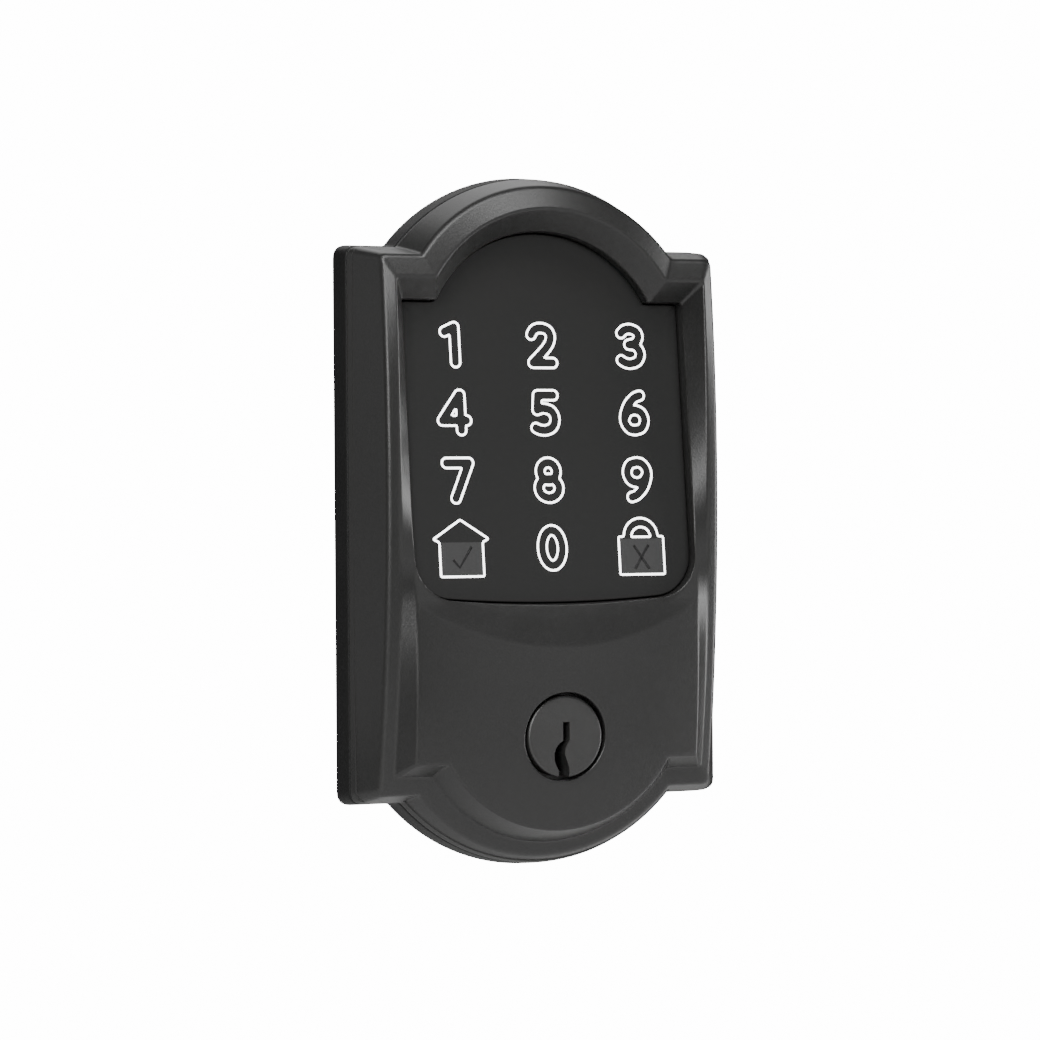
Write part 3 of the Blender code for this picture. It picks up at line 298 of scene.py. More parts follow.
rubber = make_material(
    "black_rubber",
    (0.006, 0.006, 0.006),
    specular=0.25,
    roughness=0.55,
    mottle=0.1,
    grain_depth=0.25,
    grain_scale=1800.0,
)

band = bmesh.new()
band_outside = right_half(BACK_SIZE)
band_inside = right_half(BACK_SIZE, SEAL_WIDTH)
band_lines = [
    at_depth(whole(band_inside), 0.0),
    at_depth(whole(band_outside), 0.0),
    at_depth(whole(right_half(BACK_SIZE, SEAL_DRAFT)), SEAL_TOP),
    at_depth(whole(band_inside), SEAL_TOP),
]
band_loops = []
for number, reach in enumerate((0.2 * MM, 0.5 * MM, 0.5 * MM, 0.2 * MM)):
    before, after = band_lines[number - 1], band_lines[(number + 1) % 4]
    band_loops += eased(before, band_lines[number], after, reach)
band_rings = [closed_ring(band, points) for points in band_loops]
loft(band, band_rings + band_rings[:1])
weather_band = finish_mesh("weather_band", band, rubber)
flatten_shading(weather_band)
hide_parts("weather_seal")
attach(weather_band, "housing")


# ---- cover ---------------------------------------------------------------------------------------
# One zinc die casting in fine satin black powder coat. Its sides draft in from the band to a rounded front
# edge, the rim rolls in to the sloping screen, and a crowned bib carries the key cylinder.

FRONT_SIZE = [v * MM for v in (33.3, 48.3, 25.1, 61.3, 49.2, 25.1, 61.3, 1.6)]
RIM_SIZE = [v * MM for v in (31.0, 44.2, 23.1, 57.0, 46.0, 23.6, 58.8, 0.8)]
FIELD_SIZE = [v * MM for v in (28.3, 40.2, 21.4, 53.0, 43.5, 22.1, 56.2, 0.6)]
SCREEN_CORNER = 8.0 * MM
LENS_SINK = 1.9 * MM
POCKET_FLOOR = 4.3 * MM
POCKET_FOOT_BOW = 0.8 * MM
LEDGE_WIDTH = 2.8 * MM
CYLINDER_Z = -39.0 * MM
COVER_HOLE = 8.0 * MM
HOLE_EDGE = 0.35 * MM
SCOOP = 8.0 * MM
CASTING_WALL = 1.4 * MM
COVER_BACK = 5.4 * MM
BACK_LIP = 3.4 * MM

# Depths in front of the door. Each bow is twice its radius.
RIM_DEPTH, RIM_INNER_DEPTH = 15.5 * MM, 16.0 * MM
RIM_MIDDLE_Z = 7.0 * MM
RIM_BOW, RIM_UPPER_BOW = 0.7, 1.12
SCREEN_DEPTH, SCREEN_SLOPE = 15.05 * MM, 0.1085
BIB_DEPTH, BIB_MIDDLE_Z = 19.65 * MM, -25.0 * MM
BIB_BOW_Z, BIB_BOW_X = 0.304, 0.29


def rim_depth(x, z):
    return RIM_DEPTH - (z - RIM_MIDDLE_Z) ** 2 / RIM_BOW


def rim_inner_depth(x, z):
    bow = RIM_UPPER_BOW if z > RIM_MIDDLE_Z else RIM_BOW
    return RIM_INNER_DEPTH - (z - RIM_MIDDLE_Z) ** 2 / bow


def screen_depth(x, z):
    return SCREEN_DEPTH - SCREEN_SLOPE * z


def ledge_depth(x, z):
    return screen_depth(x, z) - POCKET_FLOOR


def bib_depth(x, z):
    return BIB_DEPTH - (z - BIB_MIDDLE_Z) ** 2 / BIB_BOW_Z - x**2 / BIB_BOW_X


NEAR = 1e-6


def field_depth(x, z):
    return screen_depth(x, z) if z > BIB_TOP_Z - NEAR else bib_depth(x, z)


def above_corner(points):
    return [p for p in points if p.y > SCREEN_CORNER_Z - NEAR]


def pocket_half(distance=0.0):
    """Right half of the screen's opening: the field's arch and side, a round corner, a bowed foot."""
    upper = above_corner(right_half(FIELD_SIZE, distance))
    radius = SCREEN_CORNER - distance
    centre = Vector((FIELD_SIZE[0] - distance - radius, SCREEN_CORNER_Z))
    angles = [-math.pi / 2 * i / 8 for i in range(1, 9)]
    corner = [centre + Vector((math.cos(a), math.sin(a))) * radius for a in angles]
    foot = []
    for i in range(1, 11):
        share = 1 - i / 10
        foot.append(Vector((centre.x * share, corner[-1].y - POCKET_FOOT_BOW * (1 - share**2))))
    return upper + corner + foot


cover_paint = make_material(
    "satin_black_powder_coat",
    (0.012, 0.012, 0.0117),
    specular=0.5,
    roughness=0.34,
    roughness_spread=0.03,
    mottle=0.03,
    mottle_scale=60.0,
    grain_scale=3000.0,
    grain_depth=0.12,
)

cover = bmesh.new()
back_line = at_depth(whole(right_half(BACK_SIZE, SEAL_DRAFT)), COVER_BACK)
front_line = at_depth(whole(right_half(FRONT_SIZE)), rim_depth)
rim_line = at_depth(whole(right_half(RIM_SIZE)), rim_inner_depth)
field_line = at_depth(whole(right_half(FIELD_SIZE)), field_depth)
behind_line = at_depth(whole(right_half(BACK_SIZE, BACK_LIP)), COVER_BACK)

# Past the field's edge the surface drops into the pocket, and below the screen it stays on the field.
inner_line = at_depth(whole(right_half(FIELD_SIZE, 1.4 * MM)), field_depth)
for i, outer in enumerate(field_line):
    if outer.z > SCREEN_CORNER_Z - NEAR:
        inner_line[i] = outer + Vector((0, 2.0 * MM, 0))

cover_loops = [behind_line]
cover_loops += eased(behind_line, back_line, front_line, 0.35 * MM)
cover_loops += eased(back_line, front_line, rim_line, 0.9 * MM, 4)
cover_loops += eased(front_line, rim_line, field_line, 0.5 * MM)
corner_reach = []
for point in field_line:
    fade = min(1.0, 0.04 + abs(point.z - SCREEN_CORNER_Z) / (5.0 * MM))
    corner_reach.append(0.4 * MM * fade)
cover_loops += eased(rim_line, field_line, inner_line, corner_reach)
cover_rings = [closed_ring(cover, points) for points in cover_loops]
loft(cover, cover_rings)

edge = cover_rings[-1]
count = len(edge)
corner_start = min(i for i, v in enumerate(field_line) if v.z < SCREEN_CORNER_Z + NEAR)
bib_start = min(i for i, v in enumerate(field_line) if v.z < BIB_TOP_Z + NEAR)
right_run = edge[corner_start : bib_start + 1]
left_run = edge[count - bib_start : count - corner_start + 1]

# Crescent: rows from the screen's foot to the scooped line at the top of the bib.
scoop_radius = arc_radius(FIELD_SIZE[0], SCOOP)
scoop_right = []
for i in range(10):
    x = FIELD_SIZE[0] * i / 10
    fall = math.sqrt(scoop_radius**2 - x**2)
    scoop_right.append(Vector((x, BIB_TOP_Z - SCOOP + scoop_radius - fall)))
scoop_points = scoop_right[:0:-1] + [Vector((-p.x, p.y)) for p in scoop_right]
scoop = [cover.verts.new(v) for v in at_depth(scoop_points, bib_depth)]
lower_run = right_run + scoop + left_run

pocket = whole(pocket_half())
foot_first = len(above_corner(pocket_half()))
foot_top = at_depth(pocket[foot_first : len(pocket) - foot_first + 1], screen_depth)
rows = []
for share in (0.0, 0.05, 0.5, 0.9):
    row = [right_run[0]]
    for top, low in zip(foot_top, lower_run[1:-1]):
        place = top.lerp(low.co, share)
        if share == 0.0:
            place = top + Vector((0, min(0.3 * MM, 0.02 * MM + (SCREEN_CORNER_Z - top.z) / 12), 0))
        row.append(cover.verts.new(place))
    rows.append(row + [left_run[-1]])
rows.append(lower_run)
for first, second in zip(rows, rows[1:]):
    for i in range(len(first) - 1):
        corners = [first[i], first[i + 1], second[i + 1], second[i]]
        cover.faces.new(list(dict.fromkeys(corners)))

# Bib: rings on its crowned surface that close in on the key cylinder's hole.
bib_edge = edge[bib_start : count - bib_start + 1] + scoop[::-1]
ways = []
for corner in bib_edge:
    angle = math.atan2(corner.co.z - CYLINDER_Z, corner.co.x)
    ways.append(Vector((math.cos(angle), math.sin(angle))))
bib_rings = [bib_edge]
for share in (0.05, 0.12, 0.22, 0.34, 0.46, 0.58, 0.7, 0.8, 0.88, 0.94, 1.0):
    ring = []
    for corner, way in zip(bib_edge, ways):
        start = Vector((corner.co.x, corner.co.z))
        stop = Vector((0, CYLINDER_Z)) + way * (COVER_HOLE + HOLE_EDGE)
        x, z = start.lerp(stop, share)
        ring.append(cover.verts.new((x, -bib_depth(x, z), z)))
    bib_rings.append(ring)
for beyond, drop in ((0.12 * MM, 0.1 * MM), (0.0, 0.35 * MM), (0.0, 2.6 * MM)):
    ring = []
    for way in ways:
        x, z = Vector((0, CYLINDER_Z)) + way * (COVER_HOLE + beyond)
        ring.append(cover.verts.new((x, drop - bib_depth(x, z), z)))
    bib_rings.append(ring)
loft(cover, bib_rings)


def pocket_ring(distance):
    """A ring on the pocket's floor, started where the foot ends on the left."""
    outline = whole(pocket_half(distance))
    start = len(outline) - foot_first + 1
    return [cover.verts.new(v) for v in at_depth(outline[start:] + outline[:start], ledge_depth)]


# Screen pocket: its wall, and the ledge that the lens is taped to.
wall_top = edge[count - corner_start :] + edge[: corner_start + 1] + rows[0][1:-1]
loft(cover, [wall_top, pocket_ring(0.0), pocket_ring(LEDGE_WIDTH)])

cover_piece = finish_mesh("cover", cover, cover_paint)
wall = cover_piece.modifiers.new("casting_wall", "SOLIDIFY")
wall.thickness = CASTING_WALL
wall.offset = -1.0
flatten_shading(cover_piece)
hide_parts("escutcheon")
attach(cover_piece, "housing")


# ---- touch screen --------------------------------------------------------------------------------
# A smoked acrylic lens with a hard matte coat, taped to a ledge in the cover and sunk below its edge.
# The numerals and two signs are white outlines that light up from behind.

LENS_THICKNESS = 1.4 * MM

lens_material = make_material(
    "smoked_lens",
    (0.009, 0.009, 0.0087),
    specular=0.36,
    roughness=0.42,
    roughness_spread=0.02,
    mottle=0.015,
    mottle_scale=30.0,
    grain_scale=6000.0,
    grain_depth=0.04,
)


def lens_front(x, z):
    return screen_depth(x, z) - LENS_SINK


def lens_back(x, z):
    return screen_depth(x, z) - LENS_SINK - LENS_THICKNESS


lens = bmesh.new()
lens_outline = whole(pocket_half(0.25 * MM))
lens_core = whole(pocket_half(3.0 * MM))
lens_lines = [at_depth(lens_core, lens_back), at_depth(lens_outline, lens_back)]
lens_lines += [at_depth(lens_outline, lens_front), at_depth(lens_core, lens_front)]
lens_loops = [lens_lines[0]]
lens_loops += eased(*lens_lines[:3], 0.1 * MM, 2)
lens_loops += eased(*lens_lines[1:], 0.22 * MM, 3)
lens_loops.append(lens_lines[3])
lens_rings = [closed_ring(lens, points) for points in lens_loops]
loft(lens, lens_rings)
lens.faces.new(lens_rings[0])
lens.faces.new(lens_rings[-1])
lens_piece = finish_mesh("lens", lens, lens_material)
flatten_shading(lens_piece)
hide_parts("touch_lens")
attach(lens_piece, "housing")


def light_material(name, color, strength):
    """Ink with the slight unevenness of a backlight, which glows with the given strength."""
    made = make_material(name, color, specular=0.3, roughness=0.5, mottle=0.02, mottle_scale=200.0)
    nodes, links = made.node_tree.nodes, made.node_tree.links
    shader = nodes["Principled BSDF"]
    group = next(n for n in nodes if n.type == "GROUP")
    links.new(group.outputs["Color"], shader.inputs["Emission Color"])
    shader.inputs["Emission Strength"].default_value = strength
    return made


sign_white = light_material("lit_white", (0.9, 0.9, 0.9), 5.0)
sign_grey = light_material("dim_grey", (0.03, 0.03, 0.03), 0.45)
sign_dark = light_material("dim_black", (0.008, 0.008, 0.008), 0.0)


def lay_on_lens(mesh, x, z, height):
    """Moves a flat drawing made in X and Y onto the lens, its origin to x, z, as a thin relief."""
    for vertex in mesh.vertices:
        px = vertex.co.x + x
        pz = vertex.co.y + z
        lift = height * (1.0 if vertex.co.z > 0 else -1.0)
        vertex.co = Vector((px, -(lens_front(px, pz) + lift), pz))


def as_mesh(piece):
    """A new mesh of the piece's evaluated shape."""
    bpy.context.view_layer.update()
    graph = bpy.context.evaluated_depsgraph_get()
    return bpy.data.meshes.new_from_object(piece.evaluated_get(graph))


def stroke_mesh(paths, width, closed):
    """A drawn line of the given width along each path, as a mesh."""
    curve = bpy.data.curves.new("stroke", "CURVE")
    curve.dimensions = "3D"
    curve.bevel_depth = width / 2
    curve.bevel_resolution = 2
    curve.use_fill_caps = True
    for path in paths:
        line = curve.splines.new("POLY")
        line.points.add(len(path) - 1)
        for point, (px, pz) in zip(line.points, path):
            point.co = (px * MM, pz * MM, 0.0, 1.0)
        line.use_cyclic_u = closed
    holder = bpy.data.objects.new("stroke", curve)
    bpy.context.scene.collection.objects.link(holder)
    mesh = as_mesh(holder)
    bpy.data.objects.remove(holder)
    bpy.data.curves.remove(curve)
    return mesh


def between_points(p, q, r, w, t):
    """A Catmull-Rom curve's value at t between q and r."""
    square = 2 * p - 5 * q + 4 * r - w
    cube = 3 * q - p - 3 * r + w
    return 0.5 * (2 * q + (r - p) * t + square * t**2 + cube * t**3)


def bent(points, steps=6):
    """A smooth line through the points."""
    ends = [points[0], *points, points[-1]]
    made = [points[0]]
    for run in zip(ends, ends[1:], ends[2:], ends[3:]):
        for i in range(1, steps + 1):
            made.append(tuple(between_points(*values, i / steps) for values in zip(*run)))
    return made


def bow(x, y, half_width, half_height, start, end, steps):
    """Points on an ellipse about x, y from one angle to another."""
    angles = [start + (end - start) * i / steps for i in range(steps + 1)]
    return [(x + half_width * math.cos(a), y + half_height * math.sin(a)) for a in angles]


def oval(x, y, half_width, half_height):
    return bow(x, y, half_width, half_height, 0.0, 2 * math.pi, 32)


def half_turned(line):
    return [(-x, -y) for x, y in line]


def contour(lines, reach, step=0.14, size=38):
    """The closed loops at distance reach from the lines: a numeral's outline, as a round pen draws it.

    A grid of distances to the lines is walked cell by cell for where they cross the reach.
    """
    axis = (np.arange(2 * size + 1) - size) * step
    px, py = np.meshgrid(axis, axis, indexing="ij")
    field = np.full(px.shape, 99.0)
    for line in lines:
        for (ax, ay), (bx, by) in zip(line, line[1:]):
            dx, dy = bx - ax, by - ay
            t = np.clip(((px - ax) * dx + (py - ay) * dy) / max(dx * dx + dy * dy, 1e-9), 0.0, 1.0)
            field = np.minimum(field, np.hypot(px - ax - t * dx, py - ay - t * dy))
    field = (field - reach).tolist()

    def crossing(key):
        (i, j), (m, n) = key
        a, b = field[i][j], field[m][n]
        t = a / (a - b)
        return (axis[i] + (axis[m] - axis[i]) * t, axis[j] + (axis[n] - axis[j]) * t)

    links = {}
    for i in range(2 * size):
        for j in range(2 * size):
            ring = [(i, j), (i + 1, j), (i + 1, j + 1), (i, j + 1)]
            cut = []
            for a, b in zip(ring, ring[1:] + ring[:1]):
                if (field[a[0]][a[1]] < 0) != (field[b[0]][b[1]] < 0):
                    cut.append((min(a, b), max(a, b)))
            for a, b in zip(cut[::2], cut[1::2]):
                links.setdefault(a, []).append(b)
                links.setdefault(b, []).append(a)
    loops = []
    while links:
        start = min(links)
        walk = [start]
        while True:
            onward = [k for k in links.pop(walk[-1]) if k in links and k != start]
            if not onward:
                break
            walk.append(onward[0])
        loops.append([crossing(k) for k in walk][::2])
    return loops


def rounded_path(points, reach, steps=4):
    """A closed path through the points with each corner rounded."""
    made = []
    corners = [Vector(p) for p in points]
    for i, corner in enumerate(corners):
        after = corners[(i + 1) % len(corners)]
        made += [tuple(p) for p in turn_points(corners[i - 1], corner, after, reach, steps)]
    return made


def join_meshes(name, meshes, material):
    """One piece of several meshes, which are used up."""
    joined = bmesh.new()
    for mesh in meshes:
        joined.from_mesh(mesh)
        bpy.data.meshes.remove(mesh)
    return finish_mesh(name, joined, material)


COLUMNS = [v * MM for v in (-18.17, 0.0, 18.17)]
ROWS = [v * MM for v in (32.2, 19.85, 7.5, -4.85)]
INK = 0.03 * MM
LINE = 0.44 * MM
MARK_LINE = 0.6 * MM

# Middle lines of the numerals and half the pen's width, in millimetres from each one's own middle.
PEN = 0.9
SIX_BACK = [(1.35, 3.2), (0.2, 2.75), (-1.15, 1.4), (-1.95, -0.5), (-1.85, -1.9), (-1.0, -2.95), (0.1, -3.2)]
SIX_BOWL = [(0.1, -3.2), (1.45, -2.75), (2.05, -1.35), (1.5, 0.0), (0.2, 0.5), (-1.1, 0.15), (-1.85, -0.9)]
SIX = bent(SIX_BACK) + bent(SIX_BOWL)
TWO_NECK = [(-2.0, 1.95), (-1.3, 2.9), (0.0, 3.2), (1.4, 2.75), (1.9, 1.5), (1.3, 0.0)]
TWO_NECK += [(-0.2, -1.6), (-1.9, -3.15)]
THREE_TOP = [(-1.8, 2.4), (-1.0, 3.05), (0.2, 3.2), (1.4, 2.7), (1.75, 1.7), (1.1, 0.7), (-0.3, 0.3)]
THREE_BOWL = [(-0.3, 0.3), (1.2, 0.0), (2.0, -1.4), (1.4, -2.7), (0.1, -3.2), (-1.1, -3.1), (-2.0, -2.6)]
FIVE_BOWL = [(-1.6, 0.5), (-0.2, 0.8), (1.35, 0.25), (1.95, -1.15), (1.4, -2.6), (0.1, -3.2)]
FIVE_BOWL += [(-1.1, -3.15), (-2.0, -2.8)]
NUMERALS = {
    "1": [[(-1.2, 2.35), (0.75, 3.2), (0.75, -3.2)]],
    "2": [bent(TWO_NECK), [(-1.9, -3.2), (2.1, -3.2)]],
    "3": [bent(THREE_TOP), bent(THREE_BOWL)],
    "4": [[(1.25, -3.2), (1.25, 3.2), (1.05, 3.2), (-2.45, -1.45), (2.35, -1.45)]],
    "5": [[(1.8, 3.2), (-1.35, 3.2), (-1.6, 0.5)], bent(FIVE_BOWL)],
    "6": [SIX],
    "7": [[(-2.1, 3.2), (2.3, 3.2), (-0.55, -3.2)]],
    "8": [oval(0.0, 1.6, 1.6, 1.6), oval(0.0, -1.45, 2.0, 1.75)],
    "9": [half_turned(SIX)],
    "0": [oval(0.0, 0.0, 2.0, 3.2)],
}


def drawing(paths, width, closed, column, row, height):
    """Lines drawn on the lens at a key's place."""
    drawn = stroke_mesh(paths, width, closed)
    lay_on_lens(drawn, COLUMNS[column], ROWS[row], height)
    return drawn


drawings = []
for number, character in enumerate("1234567890"):
    column, row = (1, 3) if character == "0" else (number % 3, number // 3)
    drawings.append(drawing(contour(NUMERALS[character], PEN), LINE, True, column, row, INK))

HOUSE = [(-5.5, 1.8), (0.0, 5.3), (5.5, 1.8), (4.3, 1.2), (4.3, -5.0), (-4.3, -5.0), (-4.3, 1.2)]
LOCK = [(-4.6, -5.1), (-4.6, 1.9), *bow(0.0, 1.9, 3.5, 3.4, math.pi, 0.0, 16), (4.6, 1.9), (4.6, -5.1)]
LOCK_HOLE = bow(0.0, 1.8, 1.95, 1.85, math.pi, 0.0, 12)
for column, path in (
    (0, rounded_path(HOUSE, 0.35)),
    (2, rounded_path(LOCK, 0.3, 2)),
    (2, rounded_path(LOCK_HOLE, 0.2, 2)),
):
    drawings.append(drawing([path], LINE, True, column, 3, INK))
screen_signs = join_meshes("screen_signs", drawings, sign_white)
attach(screen_signs, "housing")

HOUSE_BODY = [(-4.3, 1.2), (4.3, 1.2), (4.3, -5.0), (-4.3, -5.0)]
LOCK_BODY = [(-4.6, 1.5), (4.6, 1.5), (4.6, -5.1), (-4.6, -5.1)]
fills = []
for column, outline in ((0, HOUSE_BODY), (2, LOCK_BODY)):
    flat = bmesh.new()
    flat.faces.new([flat.verts.new((x * MM, z * MM, 0.0)) for x, z in rounded_path(outline, 0.3)])
    raised = bmesh.ops.extrude_face_region(flat, geom=flat.faces[:])
    for item in raised["geom"]:
        if isinstance(item, bmesh.types.BMVert):
            item.co.z += 0.1 * MM
    mesh = bpy.data.meshes.new("fill")
    flat.to_mesh(mesh)
    flat.free()
    lay_on_lens(mesh, COLUMNS[column], ROWS[3], INK * 0.4)
    fills.append(mesh)
sign_fills = join_meshes("sign_fills", fills, sign_grey)
sign_fills.data.shade_flat()
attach(sign_fills, "housing")

CHECK_MARK = [(-1.7, -1.9), (-0.5, -3.3), (2.0, 0.4)]
CROSS = [[(-1.5, 0.3), (1.5, -4.1)], [(1.5, 0.3), (-1.5, -4.1)]]
marks = []
for column, paths in ((0, [CHECK_MARK]), (2, CROSS)):
    marks.append(drawing(paths, MARK_LINE, False, column, 3, INK * 0.8))
sign_marks = join_meshes("sign_marks", marks, sign_dark)
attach(sign_marks, "housing")


# ---- key plug ------------------------------------------------------------------------------------
# The brass plug that the key turns, blackened to match the cover. Its face is turned with a small chamfer,
# and the warded keyway is broached through its lower half.

PLUG_FACE = 18.75 * MM
plug_black = make_material(
    "blackened_brass",
    (0.022, 0.022, 0.0215),
    metallic=0.0,
    specular=0.5,
    roughness=0.38,
    roughness_spread=0.04,
    mottle=0.04,
    mottle_scale=300.0,
    grain_scale=4000.0,
    grain_depth=0.08,
)


def turned_body(bm, profile, x, z, steps):
    """A turned solid about the line along Y through x, z, from radius and depth pairs."""
    line = [bm.verts.new((x + radius, -depth, z)) for radius, depth in profile]
    edges = [bm.edges.new(pair) for pair in zip(line, line[1:])]
    bmesh.ops.spin(
        bm,
        geom=line + edges,
        cent=(x, 0, z),
        axis=(0, 1, 0),
        angle=2 * math.pi,
        steps=steps,
        use_merge=True,
        use_duplicate=False,
    )
    bmesh.ops.remove_doubles(bm, verts=bm.verts, dist=1e-7)


def temporary(bm):
    """An object that only cuts or joins, and is removed by carve."""
    bmesh.ops.recalc_face_normals(bm, faces=bm.faces)
    mesh = bpy.data.meshes.new("temporary")
    bm.to_mesh(mesh)
    bm.free()
    holder = bpy.data.objects.new("temporary", mesh)
    bpy.context.scene.collection.objects.link(holder)
    return holder


def carve(piece, cutters, operation="DIFFERENCE"):
    """Cuts the cutters out of the piece for good, or joins them to it, and removes them."""
    for cutter in cutters:
        cut = piece.modifiers.new("cut", "BOOLEAN")
        cut.operation = operation
        cut.solver = "EXACT"
        cut.object = cutter
    made = as_mesh(piece)
    piece.modifiers.clear()
    old = piece.data
    piece.data = made
    bpy.data.meshes.remove(old)
    for cutter in cutters:
        shape = cutter.data
        bpy.data.objects.remove(cutter)
        bpy.data.meshes.remove(shape)


def slab(outline, front, back):
    """A straight bar along Y with the outline given as x and z pairs."""
    bar = bmesh.new()
    face = bar.faces.new([bar.verts.new((x, -front, z)) for x, z in outline])
    grown = bmesh.ops.extrude_face_region(bar, geom=[face])
    far = [v for v in grown["geom"] if isinstance(v, bmesh.types.BMVert)]
    bmesh.ops.translate(bar, verts=far, vec=(0, front - back, 0))
    return temporary(bar)


def sharpened(piece):
    """Smooth round surfaces, with every edge over 35 degrees kept sharp."""
    piece.data.shade_smooth()
    piece.data.set_sharp_from_angle(angle=math.radians(35))


# Radius, and depth behind the plug's face, in millimetres: chamfered collar, shank, neck for the cap.
PLUG_PROFILE = [(0.0, 0.0), (6.9, 0.0), (7.15, 0.06), (7.35, 0.25), (7.4, 0.5), (7.4, 3.4)]
PLUG_PROFILE += [(6.35, 3.4), (6.35, 27.05), (5.2, 27.05), (5.2, 29.45), (0.0, 29.45)]

# Sideways and up from the plug's axis, in millimetres: the right side down, then the left side up.
KEYWAY = [(0.8, 2.6), (0.8, -0.7), (0.35, -1.4), (-0.1, -2.3), (-0.1, -3.4)]
KEYWAY += [(0.35, -4.7), (0.7, -5.8), (0.75, -8.2), (-1.4, -8.2), (-1.4, -6.2), (-2.0, -5.0)]
KEYWAY += [(-2.25, -4.2), (-2.25, -3.1), (-2.0, -2.2), (-1.3, -1.3), (-0.5, -0.8), (-0.5, 2.6)]
KEYWAY_DEPTH = 25.2 * MM

CHAMBERS, FIRST_CHAMBER, CHAMBER_PITCH = 5, 6.0 * MM, 3.96 * MM
CHAMBER_RADIUS, CHAMBER_HEIGHT = 1.5 * MM, 8.0 * MM
CHAMBER_MIDDLE_Z = CYLINDER_Z + 3.6 * MM

plug = bmesh.new()
turned_body(plug, [(r * MM, PLUG_FACE - d * MM) for r, d in PLUG_PROFILE], 0.0, CYLINDER_Z, 96)
plug_piece = finish_mesh("key_plug", plug, plug_black)
keyway_outline = [(x * MM, CYLINDER_Z + z * MM) for x, z in KEYWAY]
cutters = [slab(keyway_outline, PLUG_FACE + MM, PLUG_FACE - KEYWAY_DEPTH)]
for number in range(CHAMBERS):
    chamber = bmesh.new()
    y = FIRST_CHAMBER + CHAMBER_PITCH * number - PLUG_FACE
    bmesh.ops.create_cone(
        chamber,
        cap_ends=True,
        segments=32,
        radius1=CHAMBER_RADIUS,
        radius2=CHAMBER_RADIUS,
        depth=CHAMBER_HEIGHT,
        matrix=Matrix.Translation((0, y, CHAMBER_MIDDLE_Z)),
    )
    cutters.append(temporary(chamber))
carve(plug_piece, cutters)
sharpened(plug_piece)

# The lug behind the neck that drives the tailpiece.
LUG_INNER, LUG_OUTER = 2.5 * MM, 4.8 * MM
lug_angles = [math.radians(-18 + 36 * i / 8) for i in range(9)]
lug_outline = []
for radius, angles in ((LUG_OUTER, lug_angles), (LUG_INNER, lug_angles[::-1])):
    lug_outline += [(-radius * math.sin(a), CYLINDER_Z - radius * math.cos(a)) for a in angles]
carve(plug_piece, [slab(lug_outline, -10.2 * MM, -12.0 * MM)], "UNION")
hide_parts("cylinder_plug")
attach(plug_piece, "plug")


# ---- mounting plate, posts and screws ------------------------------------------------------------
# A stamped steel plate closes the back, with threaded posts for the bolts through the door and pan-head
# screws into the cover and the cylinder, all zinc plated. A moulded rubber grommet lines the cable slot.

steel = make_material(
    "zinc_plated_steel",
    (0.55, 0.56, 0.57),
    metallic=1.0,
    roughness=0.36,
    roughness_spread=0.03,
    mottle=0.05,
    grain_depth=0.03,
    brush=0.3,
)


def eased_copy(node_name, name, body, material, width):
    """The node's shape with its edges broken: a merged copy with a bevel."""
    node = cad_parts[node_name]
    bm = bmesh.new()
    bm.from_mesh(node.data)
    bmesh.ops.transform(bm, matrix=node.matrix_world, verts=bm.verts)
    bmesh.ops.remove_doubles(bm, verts=bm.verts, dist=1e-6)
    bmesh.ops.dissolve_limit(bm, angle_limit=math.radians(1), verts=bm.verts, edges=bm.edges)
    mesh = bpy.data.meshes.new(name)
    bm.to_mesh(mesh)
    bm.free()
    mesh.materials.append(material)
    mesh.shade_smooth()
    piece = bpy.data.objects.new(name, mesh)
    bpy.context.scene.collection.objects.link(piece)
    edges = piece.modifiers.new("broken_edges", "BEVEL")
    edges.width = width
    edges.segments = 2
    edges.limit_method = "ANGLE"
    edges.angle_limit = math.radians(40)
    flatten_shading(piece)
    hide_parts(node_name)
    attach(piece, body)
    return piece


eased_copy("back_plate", "plate", "housing", steel, 0.2 * MM)
for hand in ("left", "right"):
    eased_copy(f"mounting_post_{hand}", f"post_{hand}", "housing", steel, 0.35 * MM)
eased_copy("cable_grommet", "grommet", "housing", rubber, 0.25 * MM)

SHANK_RADIUS = 1.4 * MM
SHANK_POINT = 0.5 * MM
HEAD_THICKNESS = 1.1 * MM


def cross_screw(node_name):
    """A pan-head screw with a cross recess, in the place of the node's plain one."""
    low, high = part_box(node_name)
    x, z = (low[0] + high[0]) / 2, (low[2] + high[2]) / 2
    head = (high[0] - low[0]) / 2
    floor, end = -high[1], -low[1]
    rim = HEAD_THICKNESS * 0.45
    profile = [(0.0, floor), (head * 0.75, floor), (head * 0.93, floor + rim * 0.35), (head, floor + rim)]
    profile += [(head, floor + HEAD_THICKNESS), (SHANK_RADIUS, floor + HEAD_THICKNESS)]
    profile += [(SHANK_RADIUS, end - SHANK_POINT), (SHANK_RADIUS * 0.6, end), (0.0, end)]
    bm = bmesh.new()
    turned_body(bm, profile, x, z, 40)
    screw = finish_mesh(node_name + "_cross", bm, steel)
    bars = []
    reach, half = head * 0.56, head * 0.13
    for wide, tall in ((reach, half), (half, reach)):
        outline = [(x - wide, z - tall), (x + wide, z - tall), (x + wide, z + tall), (x - wide, z + tall)]
        bars.append(slab(outline, floor + HEAD_THICKNESS * 0.62, floor - MM))
    carve(screw, bars)
    sharpened(screw)
    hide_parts(node_name)
    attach(screw, "housing")


for number in range(1, 5):
    cross_screw(f"plate_screw_{number}")
for number in range(1, 3):
    cross_screw(f"cylinder_screw_{number}")


# ---- key cylinder --------------------------------------------------------------------------------
# The pin housing, pins, cover strip and cap are machined brass, with springs of drawn wire. The housing's
# face is blackened like the plug. The plug's cap carries the flat steel blade that works the bolt.

BLACK_FACE = 12.0 * MM

